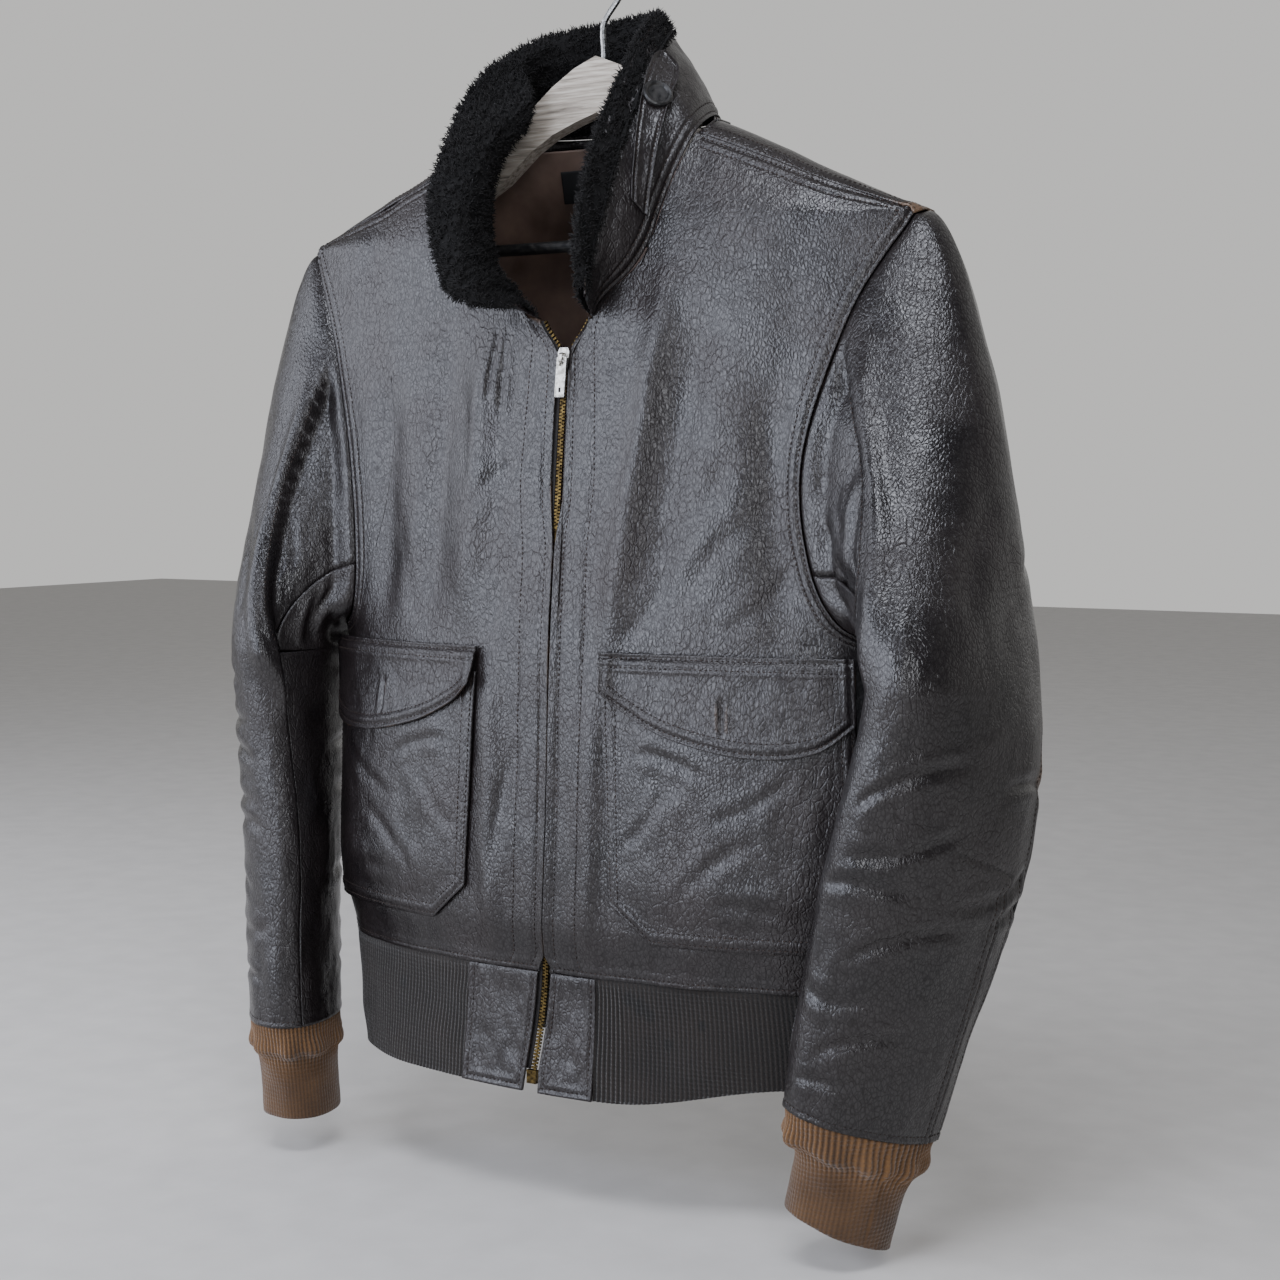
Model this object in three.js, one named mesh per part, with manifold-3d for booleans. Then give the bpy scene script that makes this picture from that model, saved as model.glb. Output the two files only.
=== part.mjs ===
// A worn leather flight jacket with a fur collar, zipped up and hanging on a wooden hanger.
// Millimetres, +Z up. The front faces -Y and the wearer's left is +X.
// The origin is where the hook bears on its rail.
// Heights are measured from the neck datum, the level of the neck end of the shoulder seam.
import * as THREE from 'three';
import Module from 'manifold-3d';

const wasm = await Module();
wasm.setup();

const DEG = Math.PI / 180;
const V = (x, y, z) => new THREE.Vector3(x, y, z);

// Driving sizes of the jacket
const NECK_DATUM = -122;      // the neck datum below the hook's bearing
const WALL = 1.5;             // leather
const KNIT = 2.6;             // rib knit
const SEAM = 0.3;             // gap between a piece and what it lies on
const HALF_SEAM = 0.2;        // what each piece gives up at a seam
const RIDGE_TOP = 51;         // the shoulder ridge's line carried on to the middle
const RIDGE_FALL = 0.47;      // fall of the ridge for each millimetre outwards
const TIP_X = 225;            // shoulder tip
const WAIST = -525;           // waist seam
const HEM = -603;             // bottom of the rib
const ARMPIT = -320;
const CUFF_SEAM = -585;       // sleeve end
const POCKET_WIDTH = 158;
const POCKET_BOTTOM = -498;
const POCKET_CUT = -474;      // where the pocket's cut corner starts
const SLIDER_H = -139;        // the zip is drawn up to here
const SIDES = [[1, 'left'], [-1, 'right']];

// Smooth curve through [place, value] pairs in rising order of place
function through(pairs) {
  const place = pairs.map((p) => p[0]);
  const value = pairs.map((p) => p[1]);
  const last = pairs.length - 1;
  const slope = place.map((_, i) => {
    const a = Math.max(0, i - 1);
    const b = Math.min(last, i + 1);
    return (value[b] - value[a]) / (place[b] - place[a]);
  });
  return (at) => {
    const s = Math.min(place[last], Math.max(place[0], at));
    let i = 0;
    while (i < last - 1 && s > place[i + 1]) i += 1;
    const w = place[i + 1] - place[i];
    const t = (s - place[i]) / w;
    const from = value[i] * (1 + 2 * t) * (1 - t) ** 2 + slope[i] * w * t * (1 - t) ** 2;
    const to = value[i + 1] * t * t * (3 - 2 * t) + slope[i + 1] * w * t * t * (t - 1);
    return from + to;
  };
}

const lerp = THREE.MathUtils.lerp;
const smooth = THREE.MathUtils.smoothstep;
const range = (n) => Array.from({ length: n }, (_, i) => i);

// The body: level rings of half-width, front depth and back depth
const ridge = (x) => RIDGE_TOP - RIDGE_FALL * x;
const TIP_H = ridge(TIP_X);
const sideWidth = through([
  [HEM, 188], [-560, 193], [WAIST, 199], [-490, 209], [-400, 214], [ARMPIT, 213], [-200, 221], [-110, 227],
  [TIP_H, TIP_X],
]);
const sideShift = through([[HEM, 6], [WAIST, 9], [-400, 18], [ARMPIT, 17], [-200, 6], [TIP_H, 0]]);
const frontDepth = through([
  [HEM, 79], [-560, 75], [WAIST, 75], [-490, 82], [-400, 80], [ARMPIT, 76], [-200, 64], [-139, 56],
  [-110, 52],
  [-55, 42], [0, 30], [30, 22],
]);
const backDepth = through([
  [HEM, 58], [WAIST, 56], [-490, 64], [ARMPIT, 66], [-150, 66], [-55, 58], [0, 48], [30, 44],
]);
const FRONT_FULLNESS = 0.8;
const BACK_FULLNESS = 0.62;

function halfWidth(side, h) {
  return h > TIP_H ? (RIDGE_TOP - h) / RIDGE_FALL : sideWidth(h) + side * sideShift(h);
}

// Angle 0 is the centre front, 90 the side or the shoulder ridge, 180 the centre back
function bodyRing(side, angle, h) {
  const c = Math.cos(angle * DEG);
  const y = c >= 0 ? -frontDepth(h) * c ** FRONT_FULLNESS : backDepth(h) * (-c) ** BACK_FULLNESS;
  return V(side * halfWidth(side, h) * Math.sin(angle * DEG), y, h);
}

function bodyNormal(side, angle, h) {
  const round = bodyRing(side, angle + 1.5, h).sub(bodyRing(side, angle - 1.5, h));
  const up = bodyRing(side, angle, h + 3).sub(bodyRing(side, angle, h - 3));
  return round.cross(up).multiplyScalar(side).normalize();
}

// The largest folds: side, face, start x and height, end x and height, half-width, rise
const FOLDS = [
  [1, 'front', 74, -96, 47, -330, 10, 6],
  [1, 'front', 98, -110, 76, -300, 13, -4],
  [1, 'front', 142, -150, 160, -310, 14, -6],
  [1, 'front', 40, -330, 36, -520, 9, 4],
  [-1, 'front', 52, -120, 60, -300, 12, 5],
  [-1, 'front', 84, -110, 92, -310, 14, -5],
  [-1, 'front', 134, -150, 134, -310, 14, -6],
  [-1, 'front', 38, -330, 34, -520, 9, 4],
  [1, 'back', 150, -110, 120, -400, 22, 6],
  [-1, 'back', 150, -110, 120, -400, 22, 6],
  [1, 'back', 60, -300, 40, -520, 20, -5],
  [-1, 'back', 60, -300, 40, -520, 20, -5],
];

function foldRise(side, face, x, h) {
  let rise = 0;
  for (const [foldSide, foldFace, x0, h0, x1, h1, width, height] of FOLDS) {
    if (foldSide !== side || foldFace !== face) continue;
    const length2 = (x1 - x0) ** 2 + (h1 - h0) ** 2;
    const t = ((x - x0) * (x1 - x0) + (h - h0) * (h1 - h0)) / length2;
    const across = ((x - x0) * (h1 - h0) - (h - h0) * (x1 - x0)) / Math.sqrt(length2);
    const ends = smooth(t, -0.1, 0.25) * (1 - smooth(t, 0.75, 1.1));
    rise += height * ends * Math.exp(-((across / width) ** 2));
  }
  return rise;
}

// A point of the body's outer face, raised by lift
function body(side, angle, h, lift = 0) {
  const point = bodyRing(side, angle, h);
  const face = angle < 90 ? 'front' : 'back';
  const rise = foldRise(side, face, Math.abs(point.x), h);
  return point.addScaledVector(bodyNormal(side, angle, h), rise + lift);
}

function angleAtX(side, x, h) {
  return Math.asin(Math.min(1, x / halfWidth(side, h))) / DEG;
}

// Angle at which the ring's tape measure from the middle of the front reads this length
function angleAtArc(side, arc, h) {
  const STEP = 0.5;
  let angle = 0;
  let run = 0;
  let here = bodyRing(side, 0, h);
  while (angle < 90) {
    const next = bodyRing(side, angle + STEP, h);
    const piece = next.distanceTo(here);
    if (run + piece >= arc) return angle + (STEP * (arc - run)) / piece;
    run += piece;
    here = next;
    angle += STEP;
  }
  return 90;
}

// The middle line of the zip, the fronts' edges beside it and the pocket's inner edge
const zipLine = through([[HEM, -7], [-550, 0], [-480, 6], [-400, 8], [SLIDER_H, 7], [-100, 5]]);
const frontEdge = (side, h) => side * zipLine(h) + 5 + 15 * smooth(h, SLIDER_H, -110);
const pocketEdge = (h) => lerp(46, 54, (ARMPIT - h) / (ARMPIT - POCKET_CUT));

// The front's outline above the armpit
const NECK_LOW = -113;
const NECK_HIGH = 0;
const neckline = through([
  [NECK_LOW, 22], [-103, 30], [-80, 55], [-58, 64], [-36, 70], [NECK_HIGH, 82],
]);
const SHOULDER_NECK_X = 82;
const SHOULDER_MIDDLE_X = 165;
const SHOULDER_TIP_X = 222;
const seamDrop = (x) => lerp(12.5, 4, (x - SHOULDER_NECK_X) / (SHOULDER_TIP_X - SHOULDER_NECK_X));
const armholeFront = {
  angle: through([
    [0, 90], [0.12, 63], [0.24, 53], [0.38, 48], [0.54, 47], [0.7, 51], [0.84, 58], [0.93, 67], [1, 79],
  ]),
  h: through([
    [0, ARMPIT], [0.12, -309], [0.24, -290], [0.38, -250], [0.54, -205], [0.7, -155], [0.84, -108],
    [0.93, -80],
    [1, -57.5],
  ]),
};
const armholeBack = {
  angle: through([
    [0, 90], [0.12, 120], [0.24, 129], [0.4, 132], [0.6, 131], [0.76, 126], [0.9, 114], [1, 90],
  ]),
  h: through([
    [0, ARMPIT], [0.12, -309], [0.24, -288], [0.4, -240], [0.6, -180], [0.76, -130], [0.9, -84], [1, TIP_H],
  ]),
};
const RIGHT_ARMHOLE_OUT = 6;  // the right armhole hangs this many degrees further round
function armhole(side, edge, step) {
  const t = ARMHOLE_STEPS[step];
  const out = side < 0 && edge === armholeFront ? RIGHT_ARMHOLE_OUT * Math.sin(Math.PI * t) : 0;
  return [edge.angle(t) + out, edge.h(t)];
}

const UNDERARM = -352;        // level rows of points end here
const LOWER_ROWS = [WAIST, -512, POCKET_BOTTOM, POCKET_CUT, -444, -414, -384, UNDERARM];
const ARMHOLE_STEPS = [0, 0.03, 0.07, 0.12, 0.2, 0.31, 0.43, 0.56, 0.7, 0.85, 0.94, 1];
const ARMHOLE_LAST = ARMHOLE_STEPS.length - 1;
const BESIDE_ARMHOLE = [0, 0.03, 0.06, 0.09, 0.12, 0.17, 0.27, 0.39, 0.52, 0.68, 0.84, 0.97, 1];
const MIDDLE_ROWS = [...range(11).map((i) => i / 11), 0.97, 1];
const UPPER_STEPS = BESIDE_ARMHOLE.length - 1;
const COLUMN_BOW = 44;        // columns of points bow this far in beside the armhole
const SEAM_COLUMNS = [0, 0.17, 0.4, 0.6, 0.8, 0.9, 1, 1.33, 1.67, 2];
const FRONT_COLUMNS = [-1, -0.84, -0.68, -0.52, -0.35, -0.17, ...SEAM_COLUMNS];

// Angle and height of a place on a front: p is -1 at the zip, 0 and 1 at the pocket's edges, 2 at the side
function frontLower(side, p, h) {
  const edge = frontEdge(side, h);
  const inner = pocketEdge(h);
  const pocketOuter = angleAtArc(side, inner + POCKET_WIDTH, h);
  if (p <= 0) return [angleAtArc(side, lerp(edge, inner, p + 1), h), h];
  if (p <= 1) return [angleAtArc(side, inner + p * POCKET_WIDTH, h), h];
  return [lerp(pocketOuter, 90, p - 1), h];
}

// The front's top edge as x and height: the neckline, then the shoulder seam
function frontTop(side, p) {
  if (p > 0) {
    const x = lerp(SHOULDER_NECK_X, SHOULDER_MIDDLE_X, p);
    return [x, ridge(x) - seamDrop(x)];
  }
  const h = lerp(NECK_LOW, NECK_HIGH, (p + 1) ** 1.25);
  return [p === -1 ? frontEdge(side, h) : neckline(h), h];
}

// The shoulder seam as angle and height, from the neck at 0 to the tip at 2
function shoulderSeam(side, p) {
  const [x, h] = frontTop(side, Math.min(1, Math.max(1e-9, p)));
  const angle = angleAtX(side, x, h);
  const out = Math.max(0, p - 1);
  return [lerp(angle, armholeFront.angle(1), out), lerp(h, armholeFront.h(1), out)];
}

// How far up a row lies: evenly spaced in the middle of the jacket, closer together under the arm
const rowShare = (step, outward) => lerp(MIDDLE_ROWS[step], BESIDE_ARMHOLE[step], outward);

// The outer edge above the level rows: a last piece of the side seam, then the armhole
const outerEdge = (side, edge, step) => (step ? armhole(side, edge, step - 1) : [90, UNDERARM]);

function frontUpper(side, p, step) {
  if (p > 1) {
    const [innerAngle, innerH] = frontUpper(side, 1, step);
    const [edgeAngle, edgeH] = outerEdge(side, armholeFront, step);
    return [lerp(innerAngle, edgeAngle, p - 1), lerp(innerH, edgeH, p - 1)];
  }
  const t = rowShare(step, (p + 1) / 2);
  const [angle] = frontLower(side, p, UNDERARM);
  const x0 = halfWidth(side, UNDERARM) * Math.sin(angle * DEG);
  const [x1, h1] = frontTop(side, p);
  const h = lerp(UNDERARM, h1, t);
  const toEdge = Math.max(0, -p);
  const [zipX] = frontTop(side, -1);
  const zipX0 = frontEdge(side, UNDERARM);
  const edgeH = lerp(UNDERARM, NECK_LOW, t);
  const bow = COLUMN_BOW * Math.max(0, p) ** 2 * 4 * t * (1 - t);
  const x = lerp(x0, x1, t) + toEdge * (frontEdge(side, edgeH) - lerp(zipX0, zipX, t)) - bow;
  return [angleAtX(side, x, h), h];
}

// Grids of [angle, height] over a front and over half a back
function frontPlaces(side) {
  const lower = LOWER_ROWS.map((h) => FRONT_COLUMNS.map((p) => frontLower(side, p, h)));
  const upper = range(UPPER_STEPS).map((i) => FRONT_COLUMNS.map((p) => frontUpper(side, p, i + 1)));
  return [...lower, ...upper];
}

const BACK_NECK = 0.4;        // share of the half back that ends at the neck
const BACK_INNER = 0.7;       // outside this share the columns lead to the armhole
const NECK_COLUMNS = [0, 0.1, 0.2, 0.3, 0.37];
const BACK_COLUMNS = [...NECK_COLUMNS, ...SEAM_COLUMNS.map((p) => BACK_NECK + (1 - BACK_NECK) * p / 2)];
const NECK_BACK_H = 13.5;
const NECK_RADIUS = 78;       // the back of the neck
const NECK_RIDGE_X = 86;      // the neck end of the ridge

// The ridge line of the back, as x and height
function backRidge(c) {
  if (c < BACK_NECK) {
    const angle = lerp(180, 100, c / NECK_COLUMNS.at(-1));
    return [NECK_RADIUS * Math.sin(angle * DEG), lerp(8, 9, c / BACK_NECK)];
  }
  const x = lerp(NECK_RIDGE_X, TIP_X, (c - BACK_NECK) / (1 - BACK_NECK));
  return [x, ridge(x)];
}

// The back's top edge in front of the ridge, as angle and height
function backTop(side, c) {
  if (c < BACK_NECK) return [lerp(180, 92, c / NECK_COLUMNS.at(-1)), NECK_BACK_H];
  return shoulderSeam(side, 2 * (c - BACK_NECK) / (1 - BACK_NECK));
}

function backUpper(side, c, step) {
  if (c > BACK_INNER) {
    const share = (c - BACK_INNER) / (1 - BACK_INNER);
    const [angle, h] = backUpper(side, BACK_INNER, step);
    const [edgeAngle, edgeH] = outerEdge(side, armholeBack, step);
    return [lerp(angle, edgeAngle, share), lerp(h, edgeH, share)];
  }
  const t = rowShare(step, c / BACK_INNER);
  const x0 = halfWidth(side, UNDERARM) * Math.sin(c * 90 * DEG);
  const [x1, h1] = backRidge(c);
  const h = lerp(UNDERARM, h1, t);
  const bow = COLUMN_BOW * (c / BACK_INNER) ** 2 * 4 * t * (1 - t);
  return [180 - angleAtX(side, lerp(x0, x1, t) - bow, h), h];
}

function backPlaces(side) {
  const lower = LOWER_ROWS.map((h) => BACK_COLUMNS.map((c) => [180 - 90 * c, h]));
  const upper = range(UPPER_STEPS).map((i) => BACK_COLUMNS.map((c) => backUpper(side, c, i + 1)));
  const over = BACK_COLUMNS.map((c, i) => {
    const [angle, h] = upper[UPPER_STEPS - 1][i];
    const [topAngle, topH] = backTop(side, c);
    return [lerp(angle, topAngle, 0.5), lerp(h, topH, 0.35)];
  });
  return [...lower, ...upper, over, BACK_COLUMNS.map((c) => backTop(side, c))];
}

// Solids from grids of points
function closedSheet(outer, inner, ring = false) {
  const rows = outer.length - 1;
  const cols = outer[0].length;
  const points = [...outer.flat(), ...inner.flat()];
  const under = (rows + 1) * cols;
  const spans = ring ? cols : cols - 1;
  const faces = [];
  const quad = (a, b, c, d) => faces.push(a, b, c, a, c, d);
  const at = (r, c) => r * cols + (c % cols);
  for (let r = 0; r < rows; r += 1) {
    for (let c = 0; c < spans; c += 1) {
      quad(at(r, c), at(r, c + 1), at(r + 1, c + 1), at(r + 1, c));
      quad(at(r, c) + under, at(r + 1, c) + under, at(r + 1, c + 1) + under, at(r, c + 1) + under);
    }
  }
  for (let c = 0; c < spans; c += 1) {
    quad(at(0, c + 1), at(0, c), at(0, c) + under, at(0, c + 1) + under);
    quad(at(rows, c), at(rows, c + 1), at(rows, c + 1) + under, at(rows, c) + under);
  }
  for (let r = 0; r < rows && !ring; r += 1) {
    quad(at(r, 0), at(r + 1, 0), at(r + 1, 0) + under, at(r, 0) + under);
    quad(at(r + 1, spans), at(r, spans), at(r, spans) + under, at(r + 1, spans) + under);
  }
  return solid(points, faces);
}

function solid(points, faces) {
  let volume = 0;
  for (let i = 0; i < faces.length; i += 3) {
    const [a, b, c] = [points[faces[i]], points[faces[i + 1]], points[faces[i + 2]]];
    volume += a.dot(b.clone().cross(c));
  }
  const index = volume < 0 ? faces.slice().reverse() : faces;
  const geometry = new THREE.BufferGeometry();
  const numbers = points.flatMap((p) => [p.x, p.y, p.z]);
  geometry.setAttribute('position', new THREE.Float32BufferAttribute(numbers, 3));
  geometry.setIndex(index);
  return geometry;
}

// Pulls the border of a grid in, square to the border
function trim(grid, gap) {
  const rows = grid.length - 1;
  const cols = grid[0].length - 1;
  const pulled = (source, p, inside, before, after) => {
    const border = after.clone().sub(before).normalize();
    const way = inside.clone().sub(p);
    way.addScaledVector(border, -way.dot(border));
    return source.clone().addScaledVector(way.normalize(), gap);
  };
  const copy = grid.map((row) => row.slice());
  for (let c = 0; c <= cols; c += 1) {
    const [before, after] = [Math.max(0, c - 1), Math.min(cols, c + 1)];
    for (const [edge, inside] of [[0, 1], [rows, rows - 1]]) {
      const border = grid[edge];
      copy[edge][c] = pulled(border[c], border[c], grid[inside][c], border[before], border[after]);
    }
  }
  for (let r = 0; r <= rows; r += 1) {
    const [before, after] = [Math.max(0, r - 1), Math.min(rows, r + 1)];
    for (const [edge, inside] of [[0, 1], [cols, cols - 1]]) {
      const [p, within] = [grid[r][edge], grid[r][inside]];
      copy[r][edge] = pulled(copy[r][edge], p, within, grid[before][edge], grid[after][edge]);
    }
  }
  return copy;
}

// Normals of a grid; flip turns them to the other face
function gridNormals(grid, flip, ring = false) {
  const rows = grid.length - 1;
  const cols = grid[0].length;
  return grid.map((row, r) => row.map((_, c) => {
    const left = row[ring ? (c + cols - 1) % cols : Math.max(0, c - 1)];
    const right = row[ring ? (c + 1) % cols : Math.min(cols - 1, c + 1)];
    const below = grid[Math.max(0, r - 1)][c];
    const above = grid[Math.min(rows, r + 1)][c];
    return right.clone().sub(left).cross(above.clone().sub(below)).normalize().multiplyScalar(flip);
  }));
}

function raise(grid, normals, lift) {
  return grid.map((row, r) => row.map((p, c) => p.clone().addScaledVector(normals[r][c], lift(r, c))));
}

// Meshes
const jacket = new THREE.Group();
jacket.name = 'flight_jacket_on_hanger';

function add(name, geometry, colour, roughness, metalness = 0) {
  geometry.translate(0, 0, NECK_DATUM);
  geometry.computeVertexNormals();
  const material = new THREE.MeshStandardMaterial({ color: colour, roughness, metalness });
  const mesh = new THREE.Mesh(geometry, material);
  mesh.name = name;
  jacket.add(mesh);
}

const LEATHER = '#2a2524';
const HEM_KNIT = '#2a211c';
const CUFF_KNIT = '#6b4a2c';
const FUR = '#1d1a18';
const LINING = '#4b3d36';
const BRASS = '#a98342';
const NICKEL = '#b9b7b2';
const WOOD = '#a9a196';
const BLACK = '#17181a';

// Fronts and back
function bodyPoints(side, places, lift) {
  return places.map((row) => row.map(([angle, h]) => body(side, angle, h, lift)));
}
for (const [side, word] of SIDES) {
  const places = frontPlaces(side);
  const outer = trim(bodyPoints(side, places, 0), HALF_SEAM);
  const inner = trim(bodyPoints(side, places, -WALL), HALF_SEAM);
  add(`front_${word}`, closedSheet(outer, inner), LEATHER, 0.4);
}

const backHalves = [1, -1].map((side) => backPlaces(side));
function backPoints(lift) {
  const left = bodyPoints(1, backHalves[0], lift);
  const right = bodyPoints(-1, backHalves[1], lift);
  return left.map((row, r) => [...row.slice().reverse(), ...right[r].slice(1)]);
}
add('back', closedSheet(trim(backPoints(0), HALF_SEAM), trim(backPoints(-WALL), HALF_SEAM)), LEATHER, 0.4);

// Sleeves: fanned out of the armhole to a level section, then level sections down to the cuff
const FAN_END = -330;
const FAN_ROWS = 7;
const TUBE_ROWS = [-352, -378, -404, -432, -462, -494, -526, -556, CUFF_SEAM];
// Middle line of each sleeve and the turn of its flattened section's wide way from straight across
const SLEEVES = {
  1: {
    x: through([
      [-650, 201], [-600, 211], [CUFF_SEAM, 214], [-526, 229], [-480, 243], [-432, 255], [-400, 260],
      [-360, 264], [FAN_END, 264],
    ]),
    y: through([[-650, -62], [CUFF_SEAM, -60], [-480, -58], [-400, -58], [FAN_END, -46]]),
    turn: through([[CUFF_SEAM, 60], [-440, 60], [FAN_END, 84]]),
  },
  [-1]: {
    x: through([
      [-650, 214], [-600, 220], [CUFF_SEAM, 222], [-526, 229], [-480, 233], [-432, 237], [-400, 239],
      [-360, 239], [FAN_END, 237],
    ]),
    y: through([[-650, -52], [CUFF_SEAM, -48], [-480, -34], [-400, -26], [FAN_END, -20]]),
    turn: through([[CUFF_SEAM, 60], [-440, 60], [FAN_END, 72]]),
  },
};
const sleeveDeep = through([
  [CUFF_SEAM, 51], [-556, 56], [-520, 61], [-480, 66], [-440, 70], [-400, 72], [-360, 76], [FAN_END, 82],
]);
const sleeveThick = through([[CUFF_SEAM, 31], [-480, 33], [-400, 35], [FAN_END, 37]]);

// The left sleeve's end hangs aslant: higher in front, lower behind
const LEAN_FROM = -470;
const LEAN_TURN = 113 * DEG;
const LEAN = 14;
const LEAN_DROP = 6;
const leanShare = through([[CUFF_SEAM, 1], [LEAN_FROM, 0]]);
function sleeveLean(side, round, h) {
  return side > 0 ? leanShare(h) * (LEAN * Math.cos(round - LEAN_TURN) - LEAN_DROP) : 0;
}
function sleeveSection(side, round, h, deep, thick) {
  const { x, y, turn } = SLEEVES[side];
  const wide = turn(h) * DEG;
  const across = V(Math.sin(wide), -Math.cos(wide), 0).multiplyScalar(thick * Math.cos(round));
  const along = V(-Math.cos(wide), -Math.sin(wide), 0).multiplyScalar(deep * Math.sin(round));
  const p = across.add(along);
  return V(side * (x(h) + p.x), y(h) + p.y, h + sleeveLean(side, round, h));
}

const FRONT_SPREAD = 0.85;     // how the armhole's points spread round the sleeve's section
const BACK_SPREAD = 0.65;
function sleeveGrid(side) {
  const front = range(ARMHOLE_LAST).map((i) => armhole(side, armholeFront, ARMHOLE_LAST - i));
  const back = range(ARMHOLE_LAST + 1).map((i) => armhole(side, armholeBack, i));
  const places = [...front, ...back];
  const underarm = places.map((_, k) => 1 - ARMHOLE_STEPS[Math.abs(k - ARMHOLE_LAST)]);
  const leaving = places.map(([angle, h], k) => {
    const out = bodyNormal(side, angle, h).multiplyScalar(0.4 + 0.5 * underarm[k]);
    return out.add(V(side * 0.8, 0, -0.3 * (1 - underarm[k]))).normalize();
  });
  const start = places.map(([angle, h], k) => {
    return body(side, angle, h).addScaledVector(leaving[k], SEAM * (1 + underarm[k]));
  });
  const turns = start.map((_, k) => {
    const step = k - ARMHOLE_LAST;
    const away = ARMHOLE_STEPS[Math.abs(step)];
    return (180 + (step < 0 ? -180 * away ** FRONT_SPREAD : 170 * away ** BACK_SPREAD)) * DEG;
  });
  const level = (h) => turns.map((turn) => sleeveSection(side, turn, h, sleeveDeep(h), sleeveThick(h)));
  const ends = level(FAN_END);
  const fan = range(FAN_ROWS + 1).map((r) => start.map((from, k) => {
    const to = ends[k];
    const reach = from.distanceTo(to);
    const outward = 10 + 18 * (1 + Math.cos(turns[k])) / 2;
    const leave = from.clone().addScaledVector(leaving[k], outward);
    const arrive = to.clone().add(V(0, 0, 0.36 * reach));
    return new THREE.CubicBezierCurve3(from, leave, arrive, to).getPoint(r / FAN_ROWS);
  }));
  const grid = [...fan, ...TUBE_ROWS.map(level)];
  const normals = gridNormals(grid, side, true);
  normals[0].forEach((n, k) => n.add(bodyNormal(side, ...places[k])).normalize());
  return [grid, normals];
}

const FRONT_SEAM = ARMHOLE_LAST - 5;  // columns of the sleeve's two long seams
const BACK_SEAM = ARMHOLE_LAST + 7;
for (const [side, word] of SIDES) {
  const [grid, normals] = sleeveGrid(side);
  const cols = grid[0].length;
  const cut = (g, r0, r1, c0, c1) => {
    return g.slice(r0, r1 + 1).map((row) => range(c1 - c0 + 1).map((i) => row[(c0 + i) % cols]));
  };
  const piece = (name, r0, r1, c0, c1) => {
    const outer = cut(grid, r0, r1, c0, c1);
    const inner = cut(raise(grid, normals, () => -WALL), r0, r1, c0, c1);
    add(name, closedSheet(trim(outer, HALF_SEAM), trim(inner, HALF_SEAM)), LEATHER, 0.4);
  };
  const end = grid.length - 1;
  piece(`sleeve_${word}_top`, 0, end, BACK_SEAM, cols + FRONT_SEAM);
  piece(`gusset_${word}`, 0, FAN_ROWS, FRONT_SEAM, BACK_SEAM);
  piece(`sleeve_${word}_under`, FAN_ROWS, end, FRONT_SEAM, BACK_SEAM);
}

// Cuffs: a frill at the leather, then a narrow rib
const CUFF_ROWS = [[0.4, 50, 30], [10, 48, 30], [19, 47, 31], [25, 39, 28], [40, 35, 26.5], [66, 34, 26]];
const CUFF_SPANS = 20;
for (const [side, word] of SIDES) {
  const ringAt = (less) => CUFF_ROWS.map(([down, deep, thick]) => range(CUFF_SPANS).map((k) => {
    const turn = (360 / CUFF_SPANS) * k * DEG;
    return sleeveSection(side, turn, CUFF_SEAM - down, deep - less, thick - less);
  }));
  add(`cuff_${word}`, closedSheet(ringAt(0), ringAt(KNIT), true), CUFF_KNIT, 0.95);
}

// Waist: leather ends beside the zip and a rib that runs round the back between them
const HEM_RISE = 18;           // the left side of the rib hangs shorter
const RIB_SHARES = [1, 0.72, 0.42, 0.14, 0];
const ribHeight = (share) => lerp(WAIST - SEAM, HEM, share);
function waistPoint(side, angle, share, lift) {
  const rise = side > 0 ? HEM_RISE * smooth(angle, 12, 55) * (1 - smooth(angle, 120, 180)) : 0;
  return body(side, angle, ribHeight(share) + rise * share, lift);
}
const frontWaist = (side, p) => (share, lift) => {
  return waistPoint(side, frontLower(side, p, ribHeight(share))[0], share, lift);
};
const backWaist = (side, c) => (share, lift) => waistPoint(side, 180 - 90 * c, share, lift);
const waistSheet = (columns, raised, sunk) => {
  const grid = (lift) => RIB_SHARES.map((share) => columns.map((column) => column(share, lift)));
  return closedSheet(trim(grid(raised), HALF_SEAM), trim(grid(sunk), HALF_SEAM));
};
const RIB_START = { 1: -0.35, [-1]: 0 };
const BAND_RAISE = 0.6;        // the leather ends are doubled over
for (const [side, word] of SIDES) {
  const columns = FRONT_COLUMNS.filter((p) => p <= RIB_START[side]).map((p) => frontWaist(side, p));
  add(`waistband_${word}`, waistSheet(columns, BAND_RAISE, -WALL), LEATHER, 0.4);
}
const ribSide = (side) => [
  ...FRONT_COLUMNS.filter((p) => p >= RIB_START[side]).map((p) => frontWaist(side, p)),
  ...BACK_COLUMNS.slice(1, -1).reverse().map((c) => backWaist(side, c)),
];
const ribColumns = [...ribSide(1), backWaist(1, 0), ...ribSide(-1).reverse()];
add('hem_rib', waistSheet(ribColumns, 0, -KNIT), HEM_KNIT, 0.95);

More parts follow.
